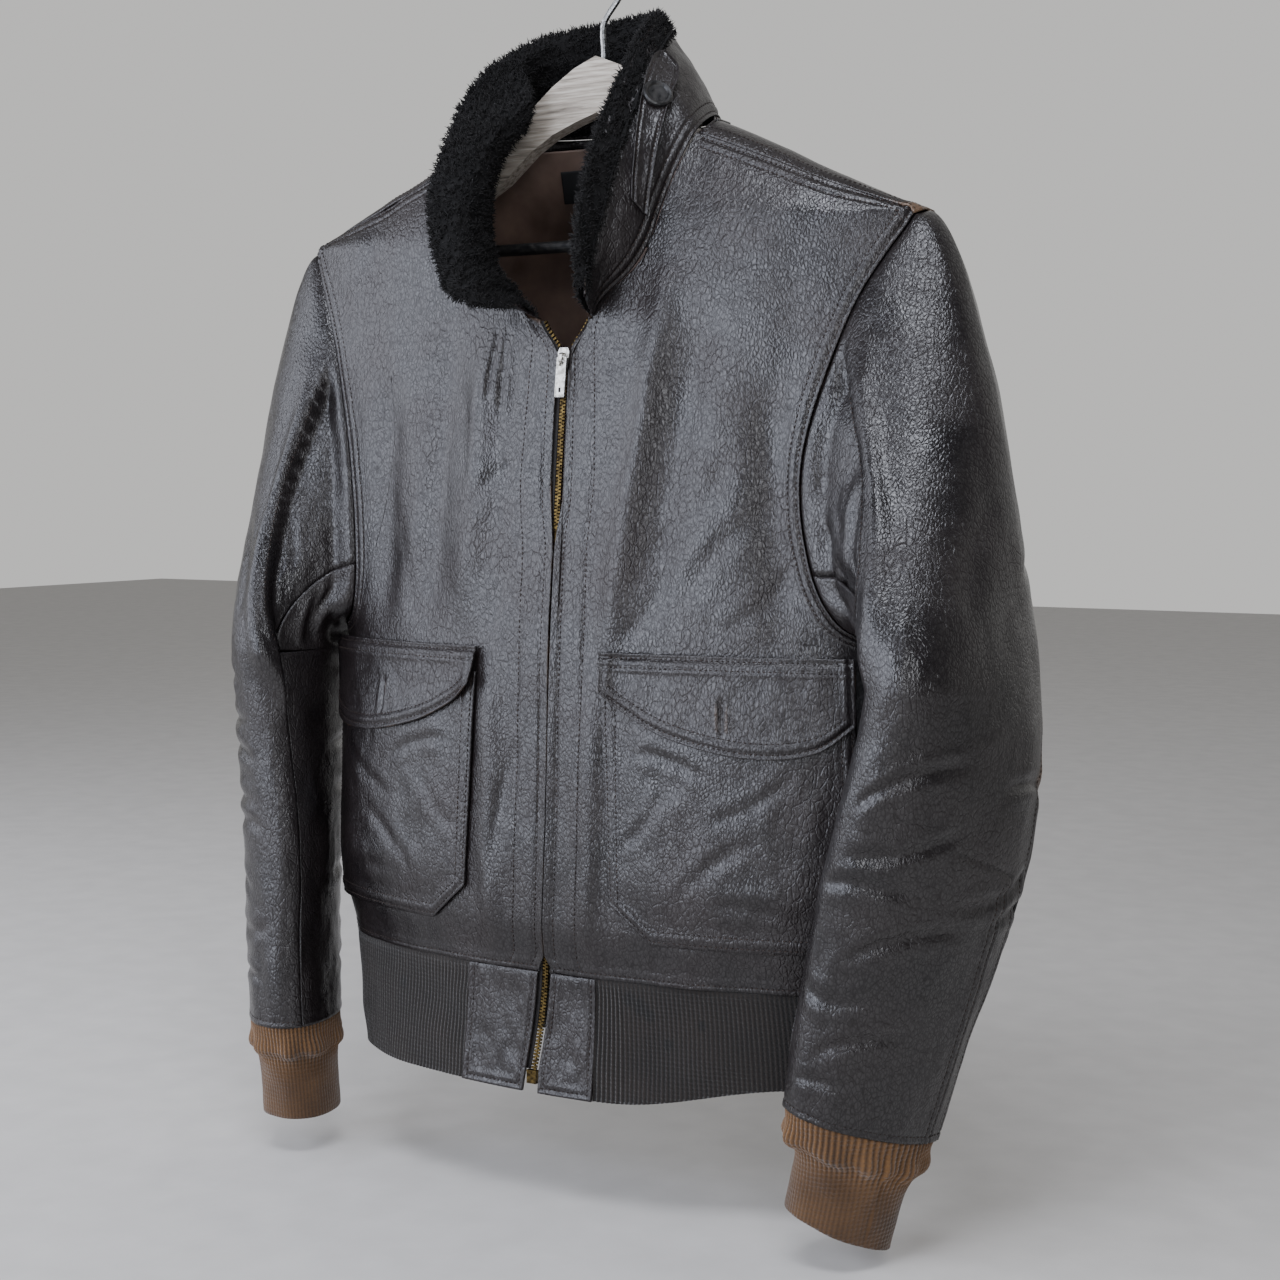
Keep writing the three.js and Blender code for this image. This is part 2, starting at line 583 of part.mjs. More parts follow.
// Patch pockets with a cut inner corner, and their flaps
const POCKET_TOP = -336;
const FLAP_TOP = -320;
const POCKET_COLUMNS = SEAM_COLUMNS.filter((p) => p <= 1);
const POCKET_ROWS = [POCKET_BOTTOM, POCKET_CUT, -444, -414, -384, UNDERARM, POCKET_TOP];
const CUT_P = POCKET_COLUMNS[1];
const POCKET_SWELL = 4;
const POCKET_SEAT = 0.4;       // gap under a pocket
const FLAP_SEAT = 0.65;        // gap under a flap
const flapDepth = through([[0, 24], [0.12, 38], [0.3, 51], [0.6, 60], [0.85, 56], [1, 40]]);
const FLAP_RAMP = 12;          // the flap climbs from the front to the pocket over this height
const FLAP_SHARES = [0.5, 0.78, 1];
function pocketSwell(p, h) {
  const full = smooth(h, POCKET_BOTTOM, -460) * (1 - 0.7 * smooth(h, -380, POCKET_TOP));
  return POCKET_SWELL * Math.sin(Math.PI * p) ** 0.7 * full;
}
// Rounding of the body beside the arm, which a pocket bridges
const bridge = (p, h) => 1.2 * smooth(p, 0.6, 0.9) * smooth(h, -375, POCKET_TOP);
const pocketPoint = (side, p, h, lift) => body(side, frontLower(side, p, h)[0], h, lift + bridge(p, h));
function pocketFace(side, lift) {
  const corner = pocketPoint(side, CUT_P / 2, (POCKET_BOTTOM + POCKET_CUT) / 2, POCKET_SEAT + lift);
  const grid = POCKET_ROWS.map((h) => POCKET_COLUMNS.map((p) => (
    pocketPoint(side, p, h, POCKET_SEAT + lift + pocketSwell(p, h)))));
  grid[0][0] = corner;
  return grid;
}
function flapFace(side, lift) {
  const row = (down) => POCKET_COLUMNS.map((p) => {
    const h = FLAP_TOP - down(p);
    const over = FLAP_SEAT + POCKET_SEAT + WALL + pocketSwell(p, h);
    return pocketPoint(side, p, h, lerp(FLAP_SEAT, over, smooth(down(p), 0, FLAP_RAMP)) + lift);
  });
  const leaf = FLAP_SHARES.map((share) => row((p) => share * flapDepth(p)));
  return [row(() => 0), row(() => FLAP_RAMP), ...leaf];
}
for (const [side, word] of SIDES) {
  add(`pocket_${word}`, closedSheet(pocketFace(side, WALL), pocketFace(side, 0)), LEATHER, 0.4);
  add(`flap_${word}`, closedSheet(flapFace(side, WALL), flapFace(side, 0)), LEATHER, 0.4);
}

// Zip: tapes behind the fronts' edges, the closed chain, two open tracks above the slider
function atX(x, h, lift) {
  const side = x < 0 ? -1 : 1;
  return body(side, angleAtX(side, Math.abs(x), h), h, lift);
}
const BEHIND = -WALL - 0.5;
const TAPE = 0.8;
const TAPE_SHOWS = 1.9;        // width of tape beyond the front's edge
const TAPE_HIDDEN = 9;
const CHAIN_HALF = 2.6;
const CHAIN_FACE = -0.6;
const CHAIN_BACK = -2.9;
const ZIP_FOOT = HEM + 14;
const TAPE_TOP = NECK_LOW - 1;
const TRACK_ROWS = [SLIDER_H + 10, -124, -119, TAPE_TOP];
const upperRows = MIDDLE_ROWS.slice(1, -1).map((t) => lerp(UNDERARM, NECK_LOW, t));
const zipRows = [...RIB_SHARES.map(ribHeight), ...LOWER_ROWS.slice(1), ...upperRows];
const rowsBetween = (low, high) => [low, ...zipRows.filter((h) => h > low + 1 && h < high - 1), high];
function strip(rows, from, to, face, behind) {
  const grid = (lift) => rows.map((h) => [atX(from(h), h, lift), atX(to(h), h, lift)]);
  return closedSheet(grid(face), grid(behind));
}
for (const [side, word] of SIDES) {
  const fromEdge = (out) => (h) => side * (frontEdge(side, h) + out);
  const tapeRows = [...rowsBetween(ZIP_FOOT, TRACK_ROWS[0] - 3), ...TRACK_ROWS];
  const tape = strip(tapeRows, fromEdge(-TAPE_SHOWS), fromEdge(TAPE_HIDDEN), BEHIND, BEHIND - TAPE);
  add(`zip_tape_${word}`, tape, BLACK, 0.9);
  const inner = -TAPE_SHOWS - SEAM;
  const track = strip(TRACK_ROWS, fromEdge(inner - CHAIN_HALF), fromEdge(inner), CHAIN_FACE, CHAIN_BACK);
  add(`zip_track_${word}`, track, BRASS, 0.35, 1);
}
const fromZip = (out) => (h) => zipLine(h) + out;
const chainRows = rowsBetween(ZIP_FOOT, SLIDER_H - 3);
const chain = strip(chainRows, fromZip(-CHAIN_HALF), fromZip(CHAIN_HALF), CHAIN_FACE, CHAIN_BACK);
add('zip_chain', chain, BRASS, 0.35, 1);

// Booleans on closed geometries
function toManifold(geometry) {
  const flat = geometry.index ? geometry.toNonIndexed() : geometry;
  const position = flat.getAttribute('position');
  const seen = new Map();
  const vertices = [];
  const corners = [];
  for (let i = 0; i < position.count; i += 1) {
    const p = [position.getX(i), position.getY(i), position.getZ(i)];
    const key = p.map((v) => Math.round(v * 1e4)).join();
    if (!seen.has(key)) {
      seen.set(key, vertices.length / 3);
      vertices.push(...p);
    }
    corners.push(seen.get(key));
  }
  const triples = range(corners.length / 3).map((i) => corners.slice(3 * i, 3 * i + 3));
  const faces = triples.filter(([a, b, c]) => a !== b && b !== c && a !== c);
  const vertProperties = new Float32Array(vertices);
  const triVerts = new Uint32Array(faces.flat());
  return new wasm.Manifold(new wasm.Mesh({ numProp: 3, vertProperties, triVerts }));
}

function fromManifold(manifold) {
  const mesh = manifold.getMesh();
  const geometry = new THREE.BufferGeometry();
  geometry.setAttribute('position', new THREE.Float32BufferAttribute(mesh.vertProperties, 3));
  geometry.setIndex(Array.from(mesh.triVerts));
  return geometry;
}

const outline = (points) => new THREE.Shape(points.map(([x, y]) => new THREE.Vector2(x, y)));
function plate(shape, thick) {
  return new THREE.ExtrudeGeometry(shape, { depth: thick, bevelEnabled: false, curveSegments: 6 });
}

function roundedBar(width, bottom, top, radius) {
  const shape = new THREE.Shape();
  const half = width / 2;
  shape.moveTo(-half + radius, bottom);
  shape.lineTo(half - radius, bottom);
  shape.absarc(half - radius, bottom + radius, radius, -Math.PI / 2, 0);
  shape.lineTo(half, top - radius);
  shape.absarc(half - radius, top - radius, radius, 0, Math.PI / 2);
  shape.lineTo(-half + radius, top);
  shape.absarc(-half + radius, top - radius, radius, Math.PI / 2, Math.PI);
  shape.lineTo(-half, bottom + radius);
  shape.absarc(-half + radius, bottom + radius, radius, Math.PI, 1.5 * Math.PI);
  return shape;
}

function slot(width, bottom, top) {
  const hole = new THREE.Path();
  const half = width / 2;
  hole.moveTo(-half, bottom);
  hole.lineTo(-half, top);
  hole.lineTo(half, top);
  hole.lineTo(half, bottom);
  hole.closePath();
  return hole;
}

// Slider plate with its bail, and the pull tab that swings on it.
// Both are drawn flat with the front's outward way along Z, then stood up against the front.
const SLIDER_LIFT = CHAIN_FACE + 0.4;
const SLIDER_THICK = 2;
const BAIL_ROOM = 2.6;         // clear space under the bail
const BAIL_WIRE = 1.2;
const PIN_LIFT = SLIDER_LIFT + SLIDER_THICK + 1.3;
const TAB_THICK = 1.2;
const sliderFoot = bodyRing(1, 0, SLIDER_H);
const lean = Math.atan2(frontDepth(SLIDER_H - 12) - frontDepth(SLIDER_H + 12), 24);
function standUp(geometry) {
  geometry.rotateX(Math.PI / 2 - lean);
  return geometry.translate(zipLine(SLIDER_H), sliderFoot.y, SLIDER_H);
}
const sliderShape = outline([[-3, -7], [3, -7], [4.2, 4], [3, 7], [-3, 7], [-4.2, 4]]);
const sliderPlate = plate(sliderShape, SLIDER_THICK).translate(0, 0, SLIDER_LIFT);
const bailSide = new THREE.Shape();
bailSide.moveTo(-3.4, -0.5);
bailSide.lineTo(3.4, -0.5);
bailSide.lineTo(3.4, BAIL_ROOM);
bailSide.lineTo(2.2, BAIL_ROOM + BAIL_WIRE);
bailSide.lineTo(-2.2, BAIL_ROOM + BAIL_WIRE);
bailSide.lineTo(-3.4, BAIL_ROOM);
const bailHole = new THREE.Path();
bailHole.moveTo(-2.2, 0.05);
bailHole.lineTo(-2.2, BAIL_ROOM - 0.3);
bailHole.lineTo(-1.7, BAIL_ROOM);
bailHole.lineTo(1.7, BAIL_ROOM);
bailHole.lineTo(2.2, BAIL_ROOM - 0.3);
bailHole.lineTo(2.2, 0.05);
bailSide.holes.push(bailHole);
const bail = plate(bailSide, 2.2).translate(0, 0, -1.1);
bail.rotateY(Math.PI / 2).rotateX(Math.PI / 2).translate(0, 0, SLIDER_LIFT + SLIDER_THICK);
add('zip_slider', standUp(fromManifold(toManifold(sliderPlate).add(toManifold(bail)))), NICKEL, 0.3, 1);

const tabShape = roundedBar(7, -24.5, 0.6, 0.6);
tabShape.holes.push(slot(3.2, -5, -0.6), slot(1.6, -21.5, -18.6));
const tab = plate(tabShape, TAB_THICK).translate(0, 0, PIN_LIFT - TAB_THICK / 2);
add('zip_pull', standUp(tab), NICKEL, 0.3, 1);

const BOX = { wide: 7, deep: 3.2, tall: 8.6 };
const boxFoot = bodyRing(1, 0, HEM + 6);
const zipBox = new THREE.BoxGeometry(BOX.wide, BOX.deep, BOX.tall);
zipBox.translate(zipLine(HEM + 9), boxFoot.y + BOX.deep / 2, ZIP_FOOT - SEAM - BOX.tall / 2);
add('zip_box', zipBox, BRASS, 0.35, 1);

// Collar: columns of points run from the right front round the neck to the left front
const collarSeam = [
  ...neckSide(-1),
  body(1, 180, NECK_BACK_H),
  ...neckSide(1).reverse(),
];
function neckSide(side) {
  const front = FRONT_COLUMNS.filter((p) => p <= 0).map((p) => {
    const [x, h] = frontTop(side, p);
    return body(side, angleAtX(side, x, h), h);
  });
  const back = NECK_COLUMNS.slice(1).reverse().map((c) => body(side, ...backTop(side, c)));
  return [...front, ...back];
}
// The reach of the leaves at some of the columns: column, x, y, height
const COLLAR_EDGE = [
  [0, -14, -80, -106], [1, -36, -91, -104], [2, -58, -90, -90], [4, -79, -72, -32], [6, -82, -20, 42],
  [8, -62, 22, 77], [11, -4, 45, 89], [13, 24, 30, 89], [15, 33, 0, 78], [16, 33, -22, 56], [18, 36, -68, -6],
  [20, 34, -83, -60], [21, 36, -82, -85], [22, 34, -76, -100],
];
const edgeCurve = [1, 2, 3].map((axis) => through(COLLAR_EDGE.map((row) => [row[0], row[axis]])));
const COLLAR_ROWS = [0, 0.2, 0.45, 0.65, 0.8, 0.92];
const LEATHER_EDGE = COLLAR_ROWS.length - 1;
const COLLAR_BELLY = 9;        // how far a leaf bows outwards
const COLLAR_LEATHER = 1.4;
const COLLAR_GAP = 0.7;
const leafWidth = collarSeam.map((seam, c) => seam.distanceTo(V(...edgeCurve.map((curve) => curve(c)))));
const collarGrid = COLLAR_ROWS.map((t) => collarSeam.map((seam, c) => {
  const edge = V(...edgeCurve.map((curve) => curve(c)));
  const start = seam.clone().addScaledVector(edge.clone().sub(seam).normalize(), COLLAR_GAP);
  const out = V(seam.x, seam.y, 0).normalize();
  const belly = COLLAR_BELLY * Math.min(1, leafWidth[c] / 60);
  const bow = start.clone().lerp(edge, 0.5).addScaledVector(out, belly);
  start.multiplyScalar((1 - t) ** 2);
  return start.addScaledVector(bow, 2 * t * (1 - t)).addScaledVector(edge, t * t);
}));
const collarNormals = gridNormals(collarGrid, -1);
const collarFace = (lift) => raise(collarGrid, collarNormals, lift);
add('collar_leather', closedSheet(collarFace(() => 0), collarFace(() => -COLLAR_LEATHER)), LEATHER, 0.4);

// A place on a leaf by column and share of its width, raised off the leather
function onCollar(column, share, lift) {
  const c = Math.min(Math.floor(column), collarSeam.length - 2);
  let r = 0;
  while (r < LEATHER_EDGE - 1 && share > COLLAR_ROWS[r + 1]) r += 1;
  const u = column - c;
  const v = (share - COLLAR_ROWS[r]) / (COLLAR_ROWS[r + 1] - COLLAR_ROWS[r]);
  const mix = (grid) => {
    const low = grid[r][c].clone().lerp(grid[r][c + 1], u);
    return low.lerp(grid[r + 1][c].clone().lerp(grid[r + 1][c + 1], u), v);
  };
  return mix(collarGrid).addScaledVector(mix(collarNormals).normalize(), lift);
}

// Fur: the inside of the leaves, rolled over their free edge and pressed thin where it leans on the hanger
const furDeep = through([[0, 3], [0.25, 11], [0.7, 12], [0.92, 10]]);
const furFull = through([[0, 0.6], [3, 1], [12, 1], [14, 0.6], [17, 0.55], [19, 0.8], [22, 0.6]]);
// The right leaf is rolled inward, so its fur lies deeper inside
const furRolled = through([[0, 1], [2, 1.7], [4, 2.3], [5, 3.1], [6, 3.7], [7, 1.9], [9, 1], [22, 1]]);
const FUR_REACH = 5;           // pile beyond the leather's edge
const FUR_OVER = 3;            // pile on the leather's outside
const FUR_OVER_FROM = COLLAR_ROWS.at(-2);
const EDGE_SEAT = 1.4;         // gap at the leather's edge
// Gap between the fur and the leather's faces along the columns
const furSeat = through([[0, 1], [3, 0.7], [16, 0.8], [18, 1], [20, 1.3], [22, 1.3]]);
function pastEdge(c, reach, lift) {
  const edge = collarGrid[LEATHER_EDGE][c];
  const way = edge.clone().sub(collarGrid[LEATHER_EDGE - 1][c]).normalize();
  return edge.clone().addScaledVector(way, reach).addScaledVector(collarNormals[LEATHER_EDGE][c], lift);
}
function furNear(c) {
  const back = -COLLAR_LEATHER - furSeat(c);
  return [
    ...COLLAR_ROWS.slice(0, -1).map((t) => onCollar(c, t, back)),
    pastEdge(c, EDGE_SEAT, back),
    pastEdge(c, EDGE_SEAT, furSeat(c)),
    onCollar(c, FUR_OVER_FROM, furSeat(c)),
  ];
}
function furFar(c) {
  const full = furFull(c) * Math.min(1, leafWidth[c] / 40);
  const back = -COLLAR_LEATHER - furSeat(c);
  const over = furSeat(c) + FUR_OVER * full;
  const inside = full * furRolled(c);
  return [
    ...COLLAR_ROWS.slice(0, -1).map((t) => onCollar(c, t, back - inside * furDeep(t))),
    pastEdge(c, EDGE_SEAT + FUR_REACH * full, back - 0.6 * inside * furDeep(1)),
    pastEdge(c, EDGE_SEAT + FUR_REACH * full, over),
    onCollar(c, FUR_OVER_FROM, over),
  ];
}
function furRows(section) {
  const columns = collarSeam.map((_, c) => section(c));
  return columns[0].map((_, r) => columns.map((column) => column[r]));
}
add('collar_fur', closedSheet(furRows(furNear), furRows(furFar)), FUR, 0.95);

// Throat tab and its button on the left leaf
const TAB_SEAT = 1.15;
const TAB_LEATHER = 2;
const TAB_COLUMNS = [18.6, 18, 17.5, 17, 16.5, 16, 15.7, 15.5];
const tabMiddle = through([[15.5, 0.62], [17, 0.5], [18.6, 0.3]]);
const tabHalf = through([[15.5, 0.08], [15.7, 0.14], [16.1, 0.16], [16.6, 0.16], [18.6, 0.13]]);
const tabFace = (lift) => TAB_COLUMNS.map((column) => [-1, -0.5, 0, 0.5, 1].map((across) => (
  onCollar(column, tabMiddle(column) + across * tabHalf(column), lift))));
add('throat_tab', closedSheet(tabFace(TAB_SEAT + TAB_LEATHER), tabFace(TAB_SEAT)), LEATHER, 0.4);

const BUTTON_RADIUS = 9.5;
const BUTTON_THICK = 3.2;
const BUTTON_COLUMN = 16.4;
const buttonFoot = onCollar(BUTTON_COLUMN, tabMiddle(BUTTON_COLUMN), TAB_SEAT + TAB_LEATHER + 1.1);
const buttonTop = onCollar(BUTTON_COLUMN, tabMiddle(BUTTON_COLUMN), TAB_SEAT + TAB_LEATHER + 6);
const buttonWay = buttonTop.sub(buttonFoot).normalize();
const buttonProfile = [
  [0, 0], [BUTTON_RADIUS - 0.8, 0], [BUTTON_RADIUS, 0.9], [BUTTON_RADIUS, 2.4],
  [BUTTON_RADIUS - 1, BUTTON_THICK],
  [BUTTON_RADIUS - 2.4, BUTTON_THICK - 0.2], [BUTTON_RADIUS - 3.4, 2], [0, 1.8],
];
const button = new THREE.LatheGeometry(buttonProfile.map(([r, y]) => new THREE.Vector2(r, y)), 24);
button.applyQuaternion(new THREE.Quaternion().setFromUnitVectors(V(0, 1, 0), buttonWay));
button.translate(buttonFoot.x, buttonFoot.y, buttonFoot.z);
add('throat_button', button, BLACK, 0.3);

// Lining behind the neck and a plain label on it
const LINING_THICK = 0.8;
const LINING_FROM = LOWER_ROWS.indexOf(-414);
const LINING_TO = LOWER_ROWS.length + UPPER_STEPS - 1;
const neckHalf = NECK_COLUMNS.length - 1;
const backMiddle = BACK_COLUMNS.length - 1;
function liningFace(lift) {
  const rows = backPoints(lift).slice(LINING_FROM, LINING_TO + 1);
  return rows.map((row) => row.slice(backMiddle - neckHalf, backMiddle + neckHalf + 1));
}
const LINING_BACK = -WALL - SEAM;
const LINING_FACE = LINING_BACK - LINING_THICK;
const liningSheet = closedSheet(trim(liningFace(LINING_BACK), SEAM), trim(liningFace(LINING_FACE), SEAM));
add('lining', liningSheet, LINING, 0.8);

const LABEL_BOTTOM = 0.04;     // shares of the lining's last row of quads but one
const LABEL_TOP = 0.96;
function labelFace(lift) {
  const [below, above] = liningFace(lift).slice(-3, -1).map((row) => row.slice(neckHalf, neckHalf + 3));
  return [LABEL_BOTTOM, LABEL_TOP].map((share) => below.map((p, i) => p.clone().lerp(above[i], share)));
}
const LABEL_BACK = LINING_FACE - SEAM;
add('neck_label', closedSheet(labelFace(LABEL_BACK), labelFace(LABEL_BACK - 0.7)), BLACK, 0.8);

// Hanger: a flat wooden board, a wire hook in a drilled hole and a black bar in two sockets
const WOOD_THICK = 12;
const WOOD_END = 205;
const woodTall = through([
  [0, 36], [20, 34], [40, 29], [68, 25], [95, 27], [150, 32], [190, 28], [WOOD_END, 22],
]);
const woodLine = through([
  [0, 57], [20, 48.5], [45, 31], [68, 9], [80, 2.2], [95, -4.8], [150, -29.6], [WOOD_END, -55],
]);
const woodTop = (x) => woodLine(Math.abs(x));
const woodBottom = (x) => woodTop(x) - woodTall(Math.abs(x));
const WOOD_STATIONS = [-1, -0.97, -0.85, -0.7, -0.5, -0.35, -0.24, -0.16, -0.08, 0];
const mirrored = WOOD_STATIONS.slice(0, -1).reverse().map((s) => -s);
const woodXs = [...WOOD_STATIONS, ...mirrored].map((s) => s * WOOD_END);
const woodOutline = outline([
  ...woodXs.map((x) => [x, woodBottom(x)]),
  ...woodXs.slice().reverse().map((x) => [x, woodTop(x)]),
]);
const board = plate(woodOutline, WOOD_THICK).rotateX(Math.PI / 2).translate(0, WOOD_THICK / 2, 0);

const BAR_RADIUS = 4;
const BAR_HALF = 182;
const BAR_H = -62;
const FIT = 0.3;
function rod(radius, length) {
  return new THREE.CylinderGeometry(radius, radius, length, 16).rotateZ(Math.PI / 2).translate(0, 0, BAR_H);
}
add('hanger_bar', rod(BAR_RADIUS, 2 * BAR_HALF), BLACK, 0.4);

const WIRE_RADIUS = 2;
const HOOK_RADIUS = 19;
const HOOK_CENTRE_H = -NECK_DATUM + WIRE_RADIUS - HOOK_RADIUS;
const STEM_X = 3;
const STEM_FOOT = 40;
const hookArc = [-48, -20, 10, 40, 65, 90, 115, 140, 165, 190].map((angle) => (
  V(HOOK_RADIUS * Math.cos(angle * DEG), 0, HOOK_CENTRE_H + HOOK_RADIUS * Math.sin(angle * DEG))));
const stem = [STEM_FOOT, 60, 78].map((h) => V(STEM_X, 0, h));
const hookPath = new THREE.CatmullRomCurve3([...stem, ...hookArc]);
const wire = new THREE.Shape();
wire.absarc(0, 0, WIRE_RADIUS, 0, 2 * Math.PI);
const wireSweep = { extrudePath: hookPath, steps: 30, curveSegments: 4, bevelEnabled: false };
const hook = new THREE.ExtrudeGeometry(wire, wireSweep);
const HOLE_LENGTH = 60;
const stemHole = new THREE.CylinderGeometry(WIRE_RADIUS + FIT, WIRE_RADIUS + FIT, HOLE_LENGTH, 12);
stemHole.rotateX(Math.PI / 2).translate(STEM_X, 0, STEM_FOOT - FIT + HOLE_LENGTH / 2);
const sockets = rod(BAR_RADIUS + FIT, 2 * (BAR_HALF + FIT));
const drilled = toManifold(board).subtract(toManifold(sockets)).subtract(toManifold(stemHole));
add('hanger_wood', fromManifold(drilled), WOOD, 0.8);
add('hanger_hook', hook, NICKEL, 0.35, 1);

export default jacket;
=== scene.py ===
"""A worn leather flight jacket with a fur collar on a wooden hanger, dressed for its picture."""

import math

import bpy
import numpy as np
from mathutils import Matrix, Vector


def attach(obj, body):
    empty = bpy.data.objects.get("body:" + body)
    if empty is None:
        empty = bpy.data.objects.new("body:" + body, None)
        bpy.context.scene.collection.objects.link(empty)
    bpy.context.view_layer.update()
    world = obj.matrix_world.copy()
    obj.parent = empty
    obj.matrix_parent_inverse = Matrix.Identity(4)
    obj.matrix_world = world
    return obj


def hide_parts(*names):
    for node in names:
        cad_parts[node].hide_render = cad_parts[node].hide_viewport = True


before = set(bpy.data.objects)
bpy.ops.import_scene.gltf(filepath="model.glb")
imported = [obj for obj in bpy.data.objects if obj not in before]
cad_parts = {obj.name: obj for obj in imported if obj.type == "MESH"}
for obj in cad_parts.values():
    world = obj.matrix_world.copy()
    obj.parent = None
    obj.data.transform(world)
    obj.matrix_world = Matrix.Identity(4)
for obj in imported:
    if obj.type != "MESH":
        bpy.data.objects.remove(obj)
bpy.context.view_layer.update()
rng = np.random.default_rng(11)

JACKET = "jacket"
SIDES = ((1, "left"), (-1, "right"))

# Driving sizes in millimetres; heights are measured from the neck end of the shoulder seam
NECK_DATUM = -122.0
WALL = 1.5
KNIT = 2.6
RIDGE_TOP = 51.0
RIDGE_FALL = 0.47
TIP_X = 225.0
TIP_H = RIDGE_TOP - RIDGE_FALL * TIP_X
WAIST = -525.0
HEM = -603.0
ARMPIT = -320.0
UNDERARM = -352.0
CUFF_SEAM = -585.0
POCKET_WIDTH = 158.0
POCKET_BOTTOM = -498.0
POCKET_CUT = -474.0
POCKET_TOP = -336.0
FLAP_TOP = -320.0
SLIDER_H = -139.0
NECK_LOW = -113.0
NECK_BACK_H = 13.5
FAN_END = -330.0


# Curves and small sums
def through(pairs):
    """Smooth curve through (place, value) pairs in rising order of place; a value may be an array."""
    place = np.array([p[0] for p in pairs], float)
    value = np.array([p[1] for p in pairs], float)
    before = np.maximum(np.arange(len(place)) - 1, 0)
    after = np.minimum(np.arange(len(place)) + 1, len(place) - 1)

    def wide(numbers):
        return np.reshape(numbers, np.shape(numbers) + (1,) * (value.ndim - 1))

    slope = (value[after] - value[before]) / wide(place[after] - place[before])

    def curve(at):
        s = np.clip(at, place[0], place[-1])
        i = np.clip(np.searchsorted(place, s) - 1, 0, len(place) - 2)
        w = wide(place[i + 1] - place[i])
        t = wide(s - place[i]) / w
        start = value[i] * (1 + 2 * t) * (1 - t) ** 2 + slope[i] * w * t * (1 - t) ** 2
        return start + value[i + 1] * t * t * (3 - 2 * t) + slope[i + 1] * w * t * t * (t - 1)

    return curve


def lerp(a, b, t):
    return a + (b - a) * t


def smooth(x, low, high):
    t = np.clip((x - low) / (high - low), 0, 1)
    return t * t * (3 - 2 * t)


def unit(v):
    return v / np.maximum(np.linalg.norm(v, axis=-1, keepdims=True), 1e-9)


LATTICE = rng.random((64, 64)) * 2 - 1


def ripple(x, y):
    """Soft random waves, one wave to a unit."""
    xi, yi = np.floor(x).astype(int), np.floor(y).astype(int)
    fx, fy = smooth(x - xi, 0, 1), smooth(y - yi, 0, 1)
    low = lerp(LATTICE[xi % 64, yi % 64], LATTICE[(xi + 1) % 64, yi % 64], fx)
    high = lerp(LATTICE[xi % 64, (yi + 1) % 64], LATTICE[(xi + 1) % 64, (yi + 1) % 64], fx)
    return lerp(low, high, fy)


# The body: level rings of half-width, front depth and back depth
side_width = through([
    (HEM, 188), (-560, 193), (WAIST, 199), (-490, 209), (-400, 214), (ARMPIT, 213), (-200, 221),
    (-110, 227), (TIP_H, TIP_X),
])
side_shift = through([(HEM, 6), (WAIST, 9), (-400, 18), (ARMPIT, 17), (-200, 6), (TIP_H, 0)])
front_depth = through([
    (HEM, 79), (-560, 75), (WAIST, 75), (-490, 82), (-400, 80), (ARMPIT, 76), (-200, 64), (-139, 56),
    (-110, 52), (-55, 42), (0, 30), (30, 22),
])
back_depth = through([
    (HEM, 58), (WAIST, 56), (-490, 64), (ARMPIT, 66), (-150, 66), (-55, 58), (0, 48), (30, 44),
])
FRONT_FULLNESS = 0.8
BACK_FULLNESS = 0.62


def ridge(x):
    return RIDGE_TOP - RIDGE_FALL * x


def half_width(side, h):
    return np.where(h > TIP_H, (RIDGE_TOP - h) / RIDGE_FALL, side_width(h) + side * side_shift(h))


def body_ring(side, angle, h):
    """Angle 0 is the centre front, 90 the side or the shoulder ridge, 180 the centre back."""
    angle, h = np.broadcast_arrays(np.asarray(angle, float), np.asarray(h, float))
    c = np.cos(np.radians(angle))
    front = -front_depth(h) * np.abs(c) ** FRONT_FULLNESS
    back = back_depth(h) * np.abs(c) ** BACK_FULLNESS
    x = side * half_width(side, h) * np.sin(np.radians(angle))
    return np.stack([x, np.where(c >= 0, front, back), h], -1)


def body_normal(side, angle, h):
    h = np.asarray(h, float)
    around = body_ring(side, angle + 1.5, h) - body_ring(side, angle - 1.5, h)
    up = body_ring(side, angle, h + 3) - body_ring(side, angle, h - 3)
    return unit(np.cross(around, up) * side)


# The largest folds: side, front, start x and height, end x and height, half-width, rise
FOLDS = [
    (1, True, 74, -96, 47, -330, 10, 6), (1, True, 98, -110, 76, -300, 13, -4),
    (1, True, 142, -150, 160, -310, 14, -6), (1, True, 40, -330, 36, -520, 9, 4),
    (-1, True, 52, -120, 60, -300, 12, 5), (-1, True, 84, -110, 92, -310, 14, -5),
    (-1, True, 134, -150, 134, -310, 14, -6), (-1, True, 38, -330, 34, -520, 9, 4),
    (1, False, 150, -110, 120, -400, 22, 6), (-1, False, 150, -110, 120, -400, 22, 6),
    (1, False, 60, -300, 40, -520, 20, -5), (-1, False, 60, -300, 40, -520, 20, -5),
]


def fold_rise(side, angle, x, h):
    rise = np.zeros(np.broadcast(x, h).shape)
    for fold_side, front, x0, h0, x1, h1, width, height in FOLDS:
        if fold_side != side:
            continue
        length2 = (x1 - x0) ** 2 + (h1 - h0) ** 2
        t = ((x - x0) * (x1 - x0) + (h - h0) * (h1 - h0)) / length2
        across = ((x - x0) * (h1 - h0) - (h - h0) * (x1 - x0)) / math.sqrt(length2)
        ends = smooth(t, -0.1, 0.25) * (1 - smooth(t, 0.75, 1.1))
        face = (np.asarray(angle) < 90) == front
        rise = rise + np.where(face, height * ends * np.exp(-((across / width) ** 2)), 0)
    return rise


